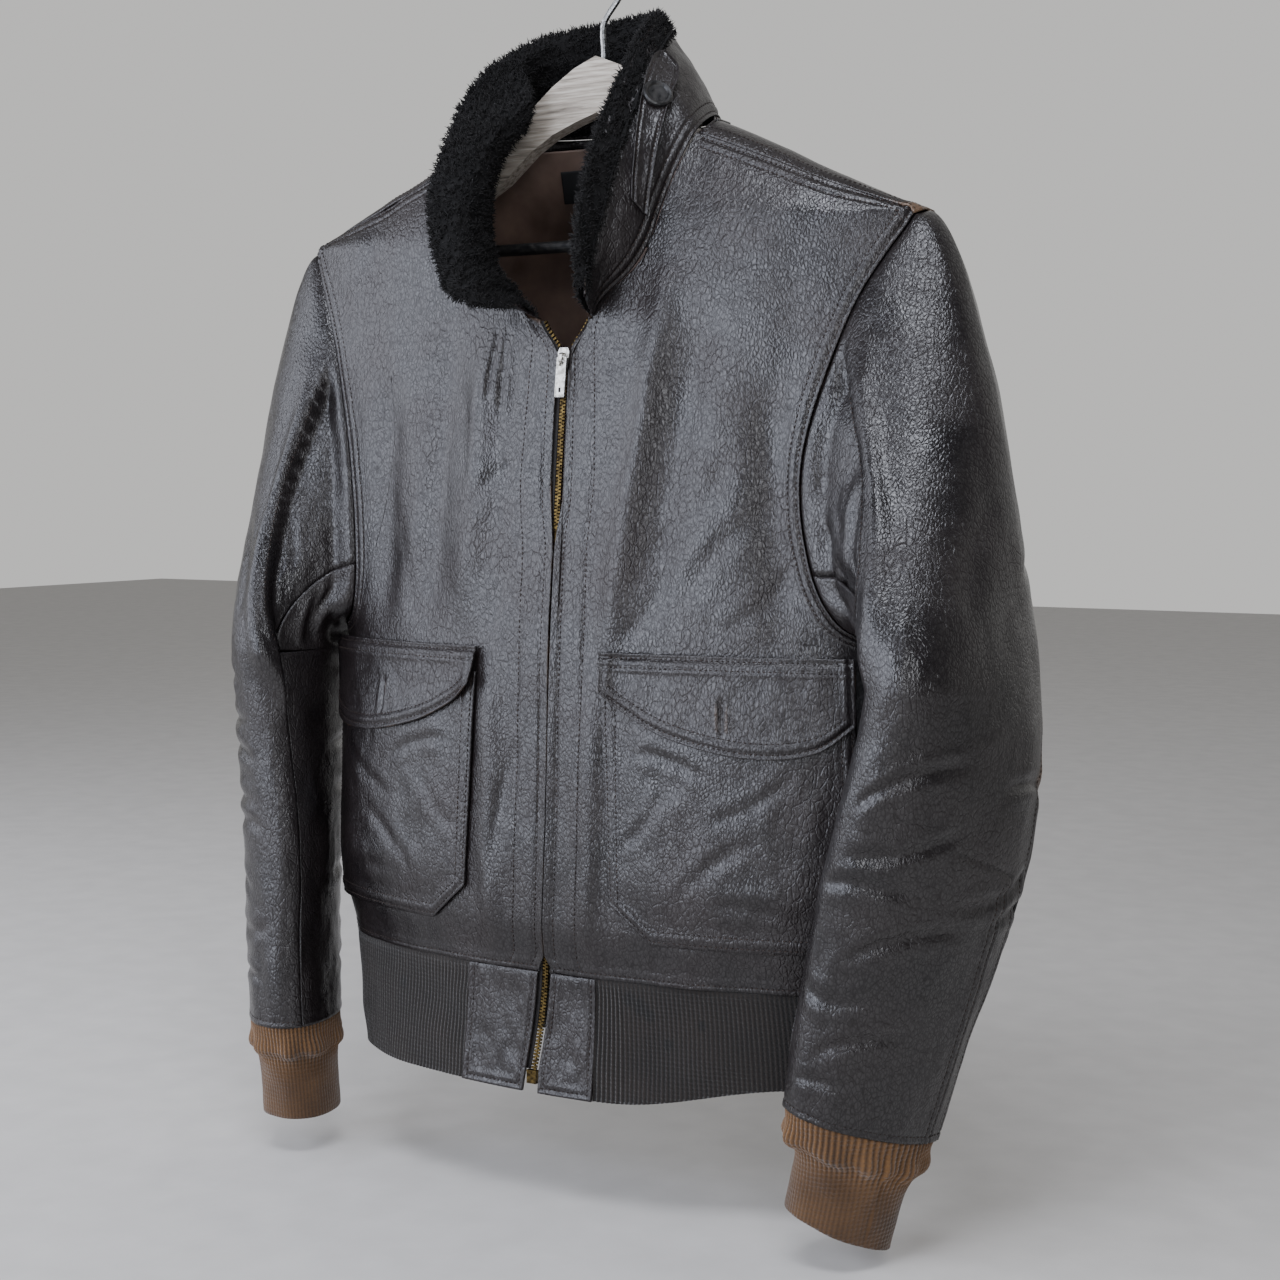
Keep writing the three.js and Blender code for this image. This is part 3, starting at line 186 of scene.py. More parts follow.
def body(side, angle, h, lift=0.0):
    """A point of the body's outer face, raised by lift."""
    point = body_ring(side, angle, h)
    rise = fold_rise(side, angle, np.abs(point[..., 0]), point[..., 2]) + lift
    return point + body_normal(side, angle, h) * np.asarray(rise)[..., None]


def angle_at_x(side, x, h):
    return np.degrees(np.arcsin(np.clip(x / half_width(side, h), -1, 1)))


RING_ANGLES = np.linspace(0, 90, 181)


def angle_at_arc(side, arc, h):
    """Angle at which the ring's tape measure from the middle of the front reads this length."""
    ring = body_ring(side, RING_ANGLES, h)
    run = np.concatenate([[0], np.cumsum(np.linalg.norm(np.diff(ring, axis=0), axis=1))])
    return np.interp(arc, run, RING_ANGLES)


# Lines on the fronts
zip_line = through([(HEM, -7), (-550, 0), (-480, 6), (-400, 8), (SLIDER_H, 7), (-100, 5)])
neckline = through([(NECK_LOW, 22), (-103, 30), (-80, 55), (-58, 64), (-36, 70), (0, 82)])


ZIP_GAP_HALF, ZIP_OPENS = 5, 15                # half the gap between the fronts, and what the open zip adds


def front_edge(side, h):
    return side * zip_line(h) + ZIP_GAP_HALF + ZIP_OPENS * smooth(h, SLIDER_H, -110)


def pocket_edge(h):
    return lerp(46, 54, (ARMPIT - h) / (ARMPIT - POCKET_CUT))


SHOULDER_NECK_X, SHOULDER_MIDDLE_X, SHOULDER_TIP_X = 82.0, 165.0, 222.0
ARMHOLE_FRONT = (
    through([(0, 90), (0.12, 63), (0.24, 53), (0.38, 48), (0.54, 47), (0.7, 51), (0.84, 58), (0.93, 67),
             (1, 79)]),
    through([(0, ARMPIT), (0.12, -309), (0.24, -290), (0.38, -250), (0.54, -205), (0.7, -155), (0.84, -108),
             (0.93, -80), (1, -57.5)]),
)
ARMHOLE_BACK = (
    through([(0, 90), (0.12, 120), (0.24, 129), (0.4, 132), (0.6, 131), (0.76, 126), (0.9, 114), (1, 90)]),
    through([(0, ARMPIT), (0.12, -309), (0.24, -288), (0.4, -240), (0.6, -180), (0.76, -130), (0.9, -84),
             (1, TIP_H)]),
)
RIGHT_ARMHOLE_OUT = 6.0
ARMHOLE_STEPS = [0, 0.03, 0.07, 0.12, 0.2, 0.31, 0.43, 0.56, 0.7, 0.85, 0.94, 1]
BESIDE_ARMHOLE = [0, 0.03, 0.06, 0.09, 0.12, 0.17, 0.27, 0.39, 0.52, 0.68, 0.84, 0.97, 1]
MIDDLE_ROWS = [i / 11 for i in range(11)] + [0.97, 1]
UPPER_STEPS = len(BESIDE_ARMHOLE) - 1
COLUMN_BOW = 44.0


def armhole(side, edge, t):
    """Angle and height on the armhole: t is 0 in the armpit and 1 at the shoulder."""
    out = RIGHT_ARMHOLE_OUT * np.sin(np.pi * t) if side < 0 and edge is ARMHOLE_FRONT else 0
    return edge[0](t) + out, edge[1](t)


def outer_edge(side, edge, step):
    if step < 1:
        return 90.0, lerp(UNDERARM, ARMPIT, step)
    return armhole(side, edge, np.interp(step - 1, range(len(ARMHOLE_STEPS)), ARMHOLE_STEPS))


def row_share(step, outward):
    steps = range(UPPER_STEPS + 1)
    return lerp(np.interp(step, steps, MIDDLE_ROWS), np.interp(step, steps, BESIDE_ARMHOLE), outward)


def front_lower(side, p, h):
    """Angle on a front: p is -1 at the zip, 0 and 1 at the pocket's edges, 2 at the side."""
    inner = pocket_edge(h)
    arc = np.where(p <= 0, lerp(front_edge(side, h), inner, p + 1), inner + np.minimum(p, 1) * POCKET_WIDTH)
    return lerp(angle_at_arc(side, arc, h), 90, np.clip(p - 1, 0, 1))


def front_top(side, p):
    """x and height of the front's top edge: the neckline, then the shoulder seam."""
    x = lerp(SHOULDER_NECK_X, SHOULDER_MIDDLE_X, np.clip(p, 0, 1))
    drop = lerp(12.5, 4, (x - SHOULDER_NECK_X) / (SHOULDER_TIP_X - SHOULDER_NECK_X))
    neck_h = lerp(NECK_LOW, 0, np.clip(p + 1, 0, 1) ** 1.25)
    neck_x = np.where(p <= -0.999, front_edge(side, NECK_LOW), neckline(neck_h))
    return np.where(p > 0, x, neck_x), np.where(p > 0, ridge(x) - drop, neck_h)


def shoulder_seam(side, p):
    x, h = front_top(side, np.clip(p, 1e-9, 1))
    out = np.maximum(0, p - 1)
    return lerp(angle_at_x(side, x, h), ARMHOLE_FRONT[0](1.0), out), lerp(h, ARMHOLE_FRONT[1](1.0), out)


def front_upper(side, p, step):
    inner_p = np.minimum(p, 1)
    t = row_share(step, (inner_p + 1) / 2)
    x0 = half_width(side, UNDERARM) * np.sin(np.radians(front_lower(side, inner_p, UNDERARM)))
    x1, h1 = front_top(side, inner_p)
    h = lerp(UNDERARM, h1, t)
    straight = lerp(front_edge(side, UNDERARM), front_edge(side, NECK_LOW), t)
    to_edge = np.maximum(0, -inner_p) * (front_edge(side, lerp(UNDERARM, NECK_LOW, t)) - straight)
    bow = COLUMN_BOW * np.maximum(0, inner_p) ** 2 * 4 * t * (1 - t)
    angle = angle_at_x(side, lerp(x0, x1, t) + to_edge - bow, h)
    edge_angle, edge_h = outer_edge(side, ARMHOLE_FRONT, step)
    out = np.maximum(0, p - 1)
    return lerp(angle, edge_angle, out), lerp(h, edge_h, out)


BACK_NECK, BACK_INNER, NECK_END = 0.4, 0.7, 0.37


def back_ridge(c):
    angle = np.radians(lerp(180, 100, np.minimum(c, NECK_END) / NECK_END))
    x = lerp(86, TIP_X, (c - BACK_NECK) / (1 - BACK_NECK))
    blend = smooth(c, NECK_END, BACK_NECK)
    ridge_x = lerp(78 * np.sin(angle), np.maximum(x, 86), blend)
    return ridge_x, lerp(lerp(8, 9, c / BACK_NECK), ridge(x), blend)


def back_top(side, c):
    angle, h = shoulder_seam(side, 2 * np.maximum(c - BACK_NECK, 0) / (1 - BACK_NECK))
    blend = smooth(c, NECK_END, BACK_NECK)
    neck_angle = lerp(180, 92, np.minimum(c, NECK_END) / NECK_END)
    return lerp(neck_angle, angle, blend), lerp(NECK_BACK_H, h, blend)


def back_upper(side, c, step):
    inner_c = np.minimum(c, BACK_INNER)
    t = row_share(step, inner_c / BACK_INNER)
    x0 = half_width(side, UNDERARM) * np.sin(np.radians(inner_c * 90))
    x1, h1 = back_ridge(inner_c)
    h = lerp(UNDERARM, h1, t)
    bow = COLUMN_BOW * (inner_c / BACK_INNER) ** 2 * 4 * t * (1 - t)
    angle = 180 - angle_at_x(side, lerp(x0, x1, t) - bow, h)
    edge_angle, edge_h = outer_edge(side, ARMHOLE_BACK, step)
    out = np.maximum(0, (c - BACK_INNER) / (1 - BACK_INNER))
    return lerp(angle, edge_angle, out), lerp(h, edge_h, out)


def at_x(x, h, lift):
    side = np.where(x < 0, -1, 1)
    left, right = (body(s, angle_at_x(s, np.abs(x), h), h, lift) for s in (1, -1))
    return np.where((side > 0)[..., None], left, right)


LIP = 4.4                      # leather that closes over the zip's teeth below the chest
LIP_COLUMNS = 6
FRONT_LOW_ROWS, BACK_LOW_ROWS = 95, 60    # rows of points below the armpits


def lip_width(h):
    return LIP * (1 - smooth(h, -262, -215)) * smooth(h, WAIST, WAIST + 12)


def front_grid(side):
    """Points of a front with its lip over the zip, and where each column lies across it."""
    p = np.concatenate([np.linspace(-1, 0, 40, False), np.linspace(0, 1, 80, False), np.linspace(1, 2, 34)])
    low = np.linspace(WAIST, UNDERARM, FRONT_LOW_ROWS, False)
    rows = [body(side, front_lower(side, p, h), h) for h in low]
    for step in np.linspace(0, UPPER_STEPS, 150):
        rows.append(body(side, *front_upper(side, p, step)))
    grid = np.array(rows)
    h = grid[:, :1, 2]
    share = np.linspace(1, 0, LIP_COLUMNS, False)[None, :]
    lip_x = front_edge(side, h) - lip_width(h) * share
    lip = at_x(side * lip_x, h + 0 * share, 1.2 * share * lip_width(h) / LIP)
    return np.concatenate([lip, grid], 1), np.concatenate([np.full(LIP_COLUMNS, -1.0), p])


def back_half(side):
    c = np.linspace(0, 1, 90)
    rows = [body(side, 180 - 90 * c, h) for h in np.linspace(WAIST, UNDERARM, BACK_LOW_ROWS, False)]
    for step in np.linspace(0, UPPER_STEPS, 110):
        rows.append(body(side, *back_upper(side, c, step)))
    ridge_angle, ridge_h = back_upper(side, c, UPPER_STEPS)
    top_angle, top_h = back_top(side, c)
    for t in np.linspace(0, 1, 9)[1:]:
        rows.append(body(side, lerp(ridge_angle, top_angle, t), lerp(ridge_h, top_h, t ** 1.5)))
    return np.array(rows)


# Sleeves: fanned out of the armhole to a level section, then level sections down to the cuff
SLEEVE_X = {
    1: through([(-650, 201), (-600, 211), (CUFF_SEAM, 214), (-526, 229), (-480, 243), (-432, 255),
                (-400, 260), (-360, 264), (FAN_END, 264)]),
    -1: through([(-650, 214), (-600, 220), (CUFF_SEAM, 222), (-526, 229), (-480, 233), (-432, 237),
                 (-400, 239), (-360, 239), (FAN_END, 237)]),
}
SLEEVE_Y = {
    1: through([(-650, -62), (CUFF_SEAM, -60), (-480, -58), (-400, -58), (FAN_END, -46)]),
    -1: through([(-650, -52), (CUFF_SEAM, -48), (-480, -34), (-400, -26), (FAN_END, -20)]),
}
SLEEVE_TURN = {
    1: through([(CUFF_SEAM, 60), (-440, 60), (FAN_END, 84)]),
    -1: through([(CUFF_SEAM, 60), (-440, 60), (FAN_END, 72)]),
}
sleeve_deep = through([
    (CUFF_SEAM, 51), (-556, 56), (-520, 61), (-480, 66), (-440, 70), (-400, 72), (-360, 76), (FAN_END, 82),
])
sleeve_thick = through([(CUFF_SEAM, 31), (-480, 33), (-400, 35), (FAN_END, 37)])
FRONT_SPREAD, BACK_SPREAD = 0.85, 0.65
FRONT_SEAM, BACK_SEAM = -0.31, 0.56
LEAN_FROM, LEAN_TURN, LEAN, LEAN_DROP = -470, 113, 14, 6
lean_share = through([(CUFF_SEAM, 1), (LEAN_FROM, 0)])


def sleeve_lean(side, turn, h):
    """The left sleeve's end hangs aslant: higher in front, lower behind."""
    return (side > 0) * lean_share(h) * (LEAN * np.cos(np.radians(turn - LEAN_TURN)) - LEAN_DROP)


def sleeve_section(side, turn, h, deep, thick):
    wide = np.radians(SLEEVE_TURN[side](h))
    level = h + sleeve_lean(side, turn, h)
    turn = np.radians(turn)
    px = np.sin(wide) * thick * np.cos(turn) - np.cos(wide) * deep * np.sin(turn)
    py = -np.cos(wide) * thick * np.cos(turn) - np.sin(wide) * deep * np.sin(turn)
    return np.stack([side * (SLEEVE_X[side](h) + px), SLEEVE_Y[side](h) + py, level], -1)


def sleeve_columns(side, q):
    """Start, leaving way and turn of sleeve columns: q is -1 at the front of the shoulder, 0 in the armpit,
    1 behind it, and 1 to 1.1 closes the top of the sleeve head."""
    front = armhole(side, ARMHOLE_FRONT, np.clip(-q, 0, 1))
    back = armhole(side, ARMHOLE_BACK, np.clip(q, 0, 1))
    close = np.clip((q - 1) / 0.1, 0, 1)
    tip = armhole(side, ARMHOLE_FRONT, 1.0)
    angle = lerp(np.where(q < 0, front[0], back[0]), tip[0], close)
    h = lerp(np.where(q < 0, front[1], back[1]), tip[1], close)
    away = np.clip(np.abs(q), 0, 1)
    under = 1 - away
    leaving = body_normal(side, angle, h) * (0.4 + 0.5 * under)[:, None]
    leaving = unit(leaving + np.stack([side * 0.8 + 0 * q, 0 * q, -0.3 * away], -1))
    start = body(side, angle, h) + leaving * (0.3 * (1 + under))[:, None]
    turn = 180 + np.where(q < 0, -180 * away ** FRONT_SPREAD, 170 * away ** BACK_SPREAD) + 10 * close
    return start, leaving, turn


def sleeve_grid(side, q, fan_rows, tube_rows):
    start, leaving, turn = sleeve_columns(side, q)
    rows = []
    if fan_rows:
        end = sleeve_section(side, turn, FAN_END, sleeve_deep(FAN_END), sleeve_thick(FAN_END))
        reach = np.linalg.norm(end - start, axis=1)[:, None]
        outward = (10 + 9 * (1 + np.cos(np.radians(turn))))[:, None]
        leave = start + leaving * outward
        arrive = end + np.array([0, 0, 0.36]) * reach
        for t in np.linspace(0, 1, fan_rows, not tube_rows):
            near = start * (1 - t) ** 3 + leave * 3 * t * (1 - t) ** 2
            rows.append(near + arrive * 3 * t * t * (1 - t) + end * t ** 3)
    if tube_rows:
        for h in np.linspace(FAN_END, CUFF_SEAM, tube_rows):
            rows.append(sleeve_section(side, turn, h, sleeve_deep(h), sleeve_thick(h)))
    return np.array(rows), turn


# Meshes
def metres(points):
    return (points + np.array([0, 0, NECK_DATUM])) * 0.001


def grid_faces(rows, cols, ring=False):
    r = np.arange(rows - 1)[:, None]
    c = np.arange(cols if ring else cols - 1)[None, :]
    a = r * cols + c
    b = r * cols + (c + 1) % cols
    return np.stack([a, b, b + cols, a + cols], -1).reshape(-1, 4)


def grid_normals(grid, face, ring=False):
    """Normals of a grid of points; face is 1 or -1 and turns them out."""
    if ring:
        around = np.roll(grid, -1, 1) - np.roll(grid, 1, 1)
    else:
        around = np.gradient(grid, axis=1)
    return unit(np.cross(around, np.gradient(grid, axis=0)) * face)


def raised(grid, normals, rise, face, ring=False):
    """The grid moved along its normals, and its new normals."""
    grid = grid + normals * rise[..., None]
    return grid, grid_normals(grid, face, ring)


def add_mesh(name, points, faces, material, marks=None, flat=False):
    mesh = bpy.data.meshes.new(name)
    mesh.from_pydata(metres(points.reshape(-1, 3)).tolist(), [], np.asarray(faces).tolist())
    for mark, values in (marks or {}).items():
        layer = mesh.attributes.new(mark, "FLOAT", "POINT")
        layer.data.foreach_set("value", np.ravel(values).astype(np.float32))
    mesh.polygons.foreach_set("use_smooth", np.full(len(mesh.polygons), not flat))
    mesh.materials.append(material)
    piece = bpy.data.objects.new(name, mesh)
    bpy.context.scene.collection.objects.link(piece)
    return piece


def dress(piece, slot, *nodes):
    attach(piece, JACKET)
    if nodes:
        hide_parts(*nodes)


TURN_IN = 3                    # rows of points in a turned-in edge


def turned(layer, under, ring, rows):
    """A layer with its border turned in over the underside by some rows of points."""
    tall = np.concatenate([under[[rows, 0]], layer, under[[-1, -1 - rows]]])
    if ring:
        return tall
    under = np.concatenate([under[[rows, 0]], under, under[[-1, -1 - rows]]])
    return np.concatenate([under[:, [rows, 0]], tall, under[:, [-1, -1 - rows]]], 1)


# A piece's wear marks are rubbed wear on the leather. On the knits they carry painted shade in the troughs
# between the ribs, painted highlight on the rib crests and painted shade in the moth holes.
def cloth(name, grid, normals, face, material, wall=WALL, ring=False, wear=None, turn_in=TURN_IN,
          slot="leather"):
    """A thin shell on a grid of points, its border turned in; it stands for the solid of its name."""
    points = turned(grid, grid - normals * wall, ring, turn_in)
    worn = np.zeros(grid.shape[:2]) if wear is None else wear
    worn = turned(worn, worn, ring, turn_in)
    faces = grid_faces(*points.shape[:2], ring)
    piece = add_mesh(name, points, faces if face > 0 else faces[:, ::-1], material, {"wear": worn})
    dress(piece, slot, name)
    return piece


def edge_distances(grid):
    """Tape-measure lengths from the first and last column and from the first and last row."""
    across = np.pad(np.cumsum(np.linalg.norm(np.diff(grid, axis=1), axis=2), 1), ((0, 0), (1, 0)))
    along = np.pad(np.cumsum(np.linalg.norm(np.diff(grid, axis=0), axis=2), 0), ((1, 0), (0, 0)))
    return across, across[:, -1:] - across, along, along[-1:] - along


def nearest(*distances):
    return np.minimum.reduce(distances)


def line_along_rows(grid, normals, distance, value, rows=slice(None)):
    """The line of points, one for each row, where the distance reaches the value."""
    points, ways = [], []
    for row, way, d in zip(grid[rows], normals[rows], distance[rows]):
        rising = d if d[-1] > d[0] else -d
        at = np.interp(value if d[-1] > d[0] else -value, rising, np.arange(len(d)))
        i = min(int(at), len(d) - 2)
        points.append(lerp(row[i], row[i + 1], at - i))
        ways.append(lerp(way[i], way[i + 1], at - i))
    return np.array(points), unit(np.array(ways))


def line_along_columns(grid, normals, distance, value, columns=slice(None)):
    turn = (1, 0, 2)
    return line_along_rows(grid.transpose(turn), normals.transpose(turn), distance.T, value, columns)


# Sewing: stitches are gathered here and joined into one mesh at the end
STITCH_PITCH, STITCH_LENGTH, STITCH_WIDTH = 3.3, 2.5, 0.85
STITCH_ABOVE, STITCH_BELOW, STITCH_LIFT = 0.45, 0.3, 0.15
stitches = []


def sew(line):
    """A row of stitches along a line of points with their normals."""
    points, ways = line
    run = np.concatenate([[0], np.cumsum(np.linalg.norm(np.diff(points, axis=0), axis=1))])
    at = np.arange(STITCH_PITCH, run[-1] - STITCH_PITCH, STITCH_PITCH)
    if len(at) < 2:
        return
    place = np.stack([np.interp(at, run, points[:, k]) for k in range(3)], -1)
    way = unit(np.stack([np.interp(at, run, ways[:, k]) for k in range(3)], -1))
    ahead = unit(np.gradient(place, axis=0))
    side = np.cross(way, ahead)
    half = STITCH_LENGTH / 2
    side = side * STITCH_WIDTH / 2
    corners = [ahead * half, side, -ahead * half, -side, way * STITCH_ABOVE, -way * STITCH_BELOW]
    stitches.append(np.stack([place + way * STITCH_LIFT + corner for corner in corners], 1))


def joined_stitches(material):
    points = np.concatenate(stitches)
    tops = [[i, (i + 1) % 4, 4] for i in range(4)]
    bottoms = [[(i + 1) % 4, i, 5] for i in range(4)]
    faces = (np.arange(len(points))[:, None, None] * 6 + np.array(tops + bottoms)).reshape(-1, 3)
    return add_mesh("stitches", points, faces, material)


def lapped_seam(d, rows=(2.5, 9), rise=0.9, width=11):
    """Rise of a lapped seam at distance d from its edge, pulled down along its rows of stitches."""
    band = rise * (1 - smooth(d, width - 2, width + 2))
    return band - sum(np.exp(-(((d - row) / 1.25) ** 2)) for row in rows)


def creases(x, h, marks):
    """Soft troughs with raised lips: start x and height, end x and height, bend, half-width, rise."""
    rise = np.zeros(np.broadcast(x, h).shape)
    for x0, h0, x1, h1, bend, width, height in marks:
        length = math.hypot(x1 - x0, h1 - h0)
        ux, uh = (x1 - x0) / length, (h1 - h0) / length
        t = ((x - x0) * ux + (h - h0) * uh) / length
        across = (h - h0) * ux - (x - x0) * uh - bend * 4 * t * (1 - t)
        ends = smooth(t, -0.08, 0.2) * (1 - smooth(t, 0.8, 1.08))
        lips = 0.4 * np.exp(-(((np.abs(across) - 2 * width) / (1.2 * width)) ** 2))
        rise += height * ends * (np.exp(-((across / width) ** 2)) - lips)
    return rise


# Materials
def linear(colour):
    parts = [int(colour[i:i + 2], 16) / 255 for i in (1, 3, 5)]
    return tuple(p / 12.92 if p <= 0.04045 else ((p + 0.055) / 1.055) ** 2.4 for p in parts) + (1.0,)


def new_material(name):
    material = bpy.data.materials.new(name)
    material.use_nodes = True
    tree = material.node_tree
    return material, tree, tree.nodes["Principled BSDF"]


def fill(tree, made, inputs):
    """Inputs of a node: another node's output is linked and any other value is set."""
    for name, value in inputs.items():
        if isinstance(value, bpy.types.NodeSocket):
            tree.links.new(value, made.inputs[name])
        else:
            made.inputs[name].default_value = value


def node(tree, kind, output, inputs, stops=(), **settings):
    """Adds a node with its inputs, a colour ramp's stops and its settings, and gives the named output."""
    made = tree.nodes.new("ShaderNode" + kind)
    for name, value in settings.items():
        setattr(made, name, value)
    for i, (place, colour) in enumerate(stops):
        stop = made.color_ramp.elements[i] if i < 2 else made.color_ramp.elements.new(place)
        stop.position = place
        stop.color = colour
    fill(tree, made, inputs)
    return made.outputs[output]


def grey(value):
    return (value, value, value, 1.0)


def per_metre(size):
    """Scale of a pattern from the real size of one grain, patch or stitch in millimetres."""
    return 1000 / size


WAVE = math.pi / 10            # length of one band in units when a band pattern's scale is 1


def places(tree, scale=(1, 1, 1)):
    """Places on the object in metres, then stretched by scale."""
    where = node(tree, "TexCoord", "Object", {})
    return node(tree, "Mapping", "Vector", {"Vector": where, "Scale": scale})


# Sizes in millimetres of what shows on the surfaces
HIDE_PEBBLE, HIDE_CRACKS = 2.1, 4.3            # the hide's own grain is finer; this is as fine as shows
HIDE_PORE, HIDE_WARP, HIDE_SWELL, HIDE_PATCH = 1.1, 9.1, 16.7, 45.5
HIDE_DRAWN = (1, 1, 0.6)                       # grain is drawn out up and down
KNIT_STITCH, KNIT_FUZZ, KNIT_PATCH = 2.86, 1.1, 33.0
FUR_CLUMP = 6.25
THREAD_SPACING, DYE_PATCH = 0.45, 25.0         # threads are drawn a little coarser than real, to show
OXIDE_PATCH, DUST_PATCH = 2.4, 3.3
WOOD_GRAIN = (37.0, 2.8, 2.2)
PAINT_SPECK = 33.0


def leather(name, dark, light, gloss=0.3):
    """Drum-dyed cowhide, glossy and worn: pebble grain, a net of fine cracks, rubbed tan edges."""
    material, tree, skin = new_material(name)
    even, drawn = places(tree), places(tree, HIDE_DRAWN)
    warp = node(tree, "TexNoise", "Color", {"Vector": drawn, "Scale": per_metre(HIDE_WARP), "Detail": 2.0})
    bent = node(tree, "MixRGB", "Color", {"Fac": 0.003, "Color1": drawn, "Color2": warp})
    pebbles, net = (
        node(tree, "TexVoronoi", "Distance", {"Vector": bent, "Scale": per_metre(size)},
             feature="DISTANCE_TO_EDGE")
        for size in (HIDE_PEBBLE, HIDE_CRACKS)
    )
    pores, broad = (
        node(tree, "TexNoise", "Fac", {"Vector": even, "Scale": per_metre(size), "Detail": 3.0})
        for size in (HIDE_PORE, HIDE_PATCH)
    )
    swell = node(tree, "TexNoise", "Fac", {"Vector": drawn, "Scale": per_metre(HIDE_SWELL), "Detail": 2.0})

    pebble_rise = node(tree, "ValToRGB", "Color", {"Fac": pebbles}, [(0.0, grey(0.0)), (0.28, grey(0.3))])
    net_rise = node(tree, "ValToRGB", "Color", {"Fac": net}, [(0.0, grey(0.0)), (0.12, grey(0.5))])
    cracked_parts = node(tree, "ValToRGB", "Color", {"Fac": broad}, [(0.4, grey(0.1)), (0.62, grey(1.0))])
    relief = pebble_rise
    for layer, height in ((net_rise, cracked_parts), (pores, 0.08), (swell, 1.6)):
        relief = node(tree, "Math", "Value", {0: layer, 1: height, 2: relief}, operation="MULTIPLY_ADD")
    normal = node(tree, "Bump", "Normal", {"Height": relief, "Strength": 0.8, "Distance": 0.0005})

    dye = node(tree, "ValToRGB", "Color", {"Fac": broad}, [(0.3, linear(dark)), (0.72, linear(light))])
    wear = node(tree, "Attribute", "Fac", {}, attribute_name="wear")
    rub = node(tree, "Math", "Value", {0: wear, 1: swell}, operation="MULTIPLY")
    rubbed = node(tree, "ValToRGB", "Color", {"Fac": rub}, [(0.3, grey(0.0)), (0.7, grey(1.0))])
    tan = linear("#5f4a38")
    colour = node(tree, "MixRGB", "Color", {"Fac": rubbed, "Color1": dye, "Color2": tan})

    dull = [(0.3, grey(gloss - 0.05)), (0.72, grey(gloss + 0.1))]
    rough = node(tree, "ValToRGB", "Color", {"Fac": broad}, dull)
    pebble_shine = node(tree, "ValToRGB", "Color", {"Fac": pebbles}, [(0.0, grey(0.4)), (0.22, grey(0.66))])
    net_shine = node(tree, "ValToRGB", "Color", {"Fac": net}, [(0.0, grey(0.75)), (0.1, grey(1.0))])
    shine = node(tree, "Math", "Value", {0: pebble_shine, 1: net_shine}, operation="MULTIPLY")
    fill(tree, skin, {"Base Color": colour, "Roughness": rough, "Specular IOR Level": shine, "IOR": 1.55,
                      "Normal": normal})
    return material


def yarn(name, dark, light):
    """Wool rib knit: matt, fuzzy, small stitches along each rib."""
    material, tree, wool = new_material(name)
    even = places(tree)
    fuzz, patch = (
        node(tree, "TexNoise", "Fac", {"Vector": even, "Scale": per_metre(size), "Detail": 3.0})
        for size in (KNIT_FUZZ, KNIT_PATCH)
    )
    stitch = {"Vector": even, "Scale": WAVE * per_metre(KNIT_STITCH), "Distortion": 2.0, "Detail Scale": 3.0}
    rows = node(tree, "TexWave", "Fac", stitch, bands_direction="Z")
    # The wear attribute holds the knit's tone here: painted shade between the ribs, painted highlight on
    # their crests and painted shade in the moth holes.
    rib = node(tree, "Attribute", "Fac", {}, attribute_name="wear")
    tone = node(tree, "Math", "Value", {0: patch, 1: 0.6, 2: rib}, operation="MULTIPLY_ADD")
    colour = node(tree, "ValToRGB", "Color", {"Fac": tone}, [(0.3, linear(dark)), (0.95, linear(light))])
    height = node(tree, "Math", "Value", {0: rows, 1: 0.5, 2: fuzz}, operation="MULTIPLY_ADD")
    normal = node(tree, "Bump", "Normal", {"Height": height, "Strength": 0.7, "Distance": 0.0008})
    fill(tree, wool, {"Base Color": colour, "Roughness": 0.95, "Sheen Weight": 0.25, "Normal": normal})
    return material


def pile(name, root, tip):
    """Sheared sheepskin dyed dark: soft matt hairs, lighter and browner at the tips."""
    material, tree, hair = new_material(name)
    along = node(tree, "Attribute", "Fac", {}, attribute_name="wear")
    where = {"Vector": places(tree), "Scale": per_metre(FUR_CLUMP), "Detail": 2.0}
    clump = node(tree, "TexNoise", "Fac", where)
    tone = node(tree, "Math", "Value", {0: along, 1: clump}, operation="MULTIPLY")
    colour = node(tree, "ValToRGB", "Color", {"Fac": tone}, [(0.05, linear(root)), (0.7, linear(tip))])
    fill(tree, hair, {"Base Color": colour, "Roughness": 0.8, "Sheen Weight": 0.04,
                      "Specular IOR Level": 0.25})
    return material


def woven(name, dark, light, gloss=0.75):
    """Plain-woven cloth: fine crossing threads and uneven dye."""
    material, tree, weave = new_material(name)
    even = places(tree)
    spacing = {"Vector": even, "Scale": WAVE * per_metre(THREAD_SPACING)}
    warp, weft = (node(tree, "TexWave", "Fac", spacing, bands_direction=way) for way in "XZ")
    cross = node(tree, "Math", "Value", {0: warp, 1: weft}, operation="MAXIMUM")
    dye = node(tree, "TexNoise", "Fac", {"Vector": even, "Scale": per_metre(DYE_PATCH), "Detail": 4.0})
    colour = node(tree, "ValToRGB", "Color", {"Fac": dye}, [(0.3, linear(dark)), (0.75, linear(light))])
    normal = node(tree, "Bump", "Normal", {"Height": cross, "Strength": 0.35, "Distance": 0.0003})
    fill(tree, weave, {"Base Color": colour, "Roughness": gloss, "Normal": normal})
    return material


def metal(name, colour, dull, roughness=0.3):
    """Plated or cast metal: bright where rubbed, with dull oxide in patches."""
    material, tree, plate = new_material(name)
    where = {"Vector": places(tree), "Scale": per_metre(OXIDE_PATCH), "Detail": 4.0}
    patch = node(tree, "TexNoise", "Fac", where)
    coat = node(tree, "ValToRGB", "Color", {"Fac": patch}, [(0.35, linear(dull)), (0.62, linear(colour))])
    rub = [(0.3, grey(roughness + 0.25)), (0.65, grey(roughness))]
    rough = node(tree, "ValToRGB", "Color", {"Fac": patch}, rub)
    fill(tree, plate, {"Base Color": coat, "Roughness": rough, "Metallic": 1.0})
    return material


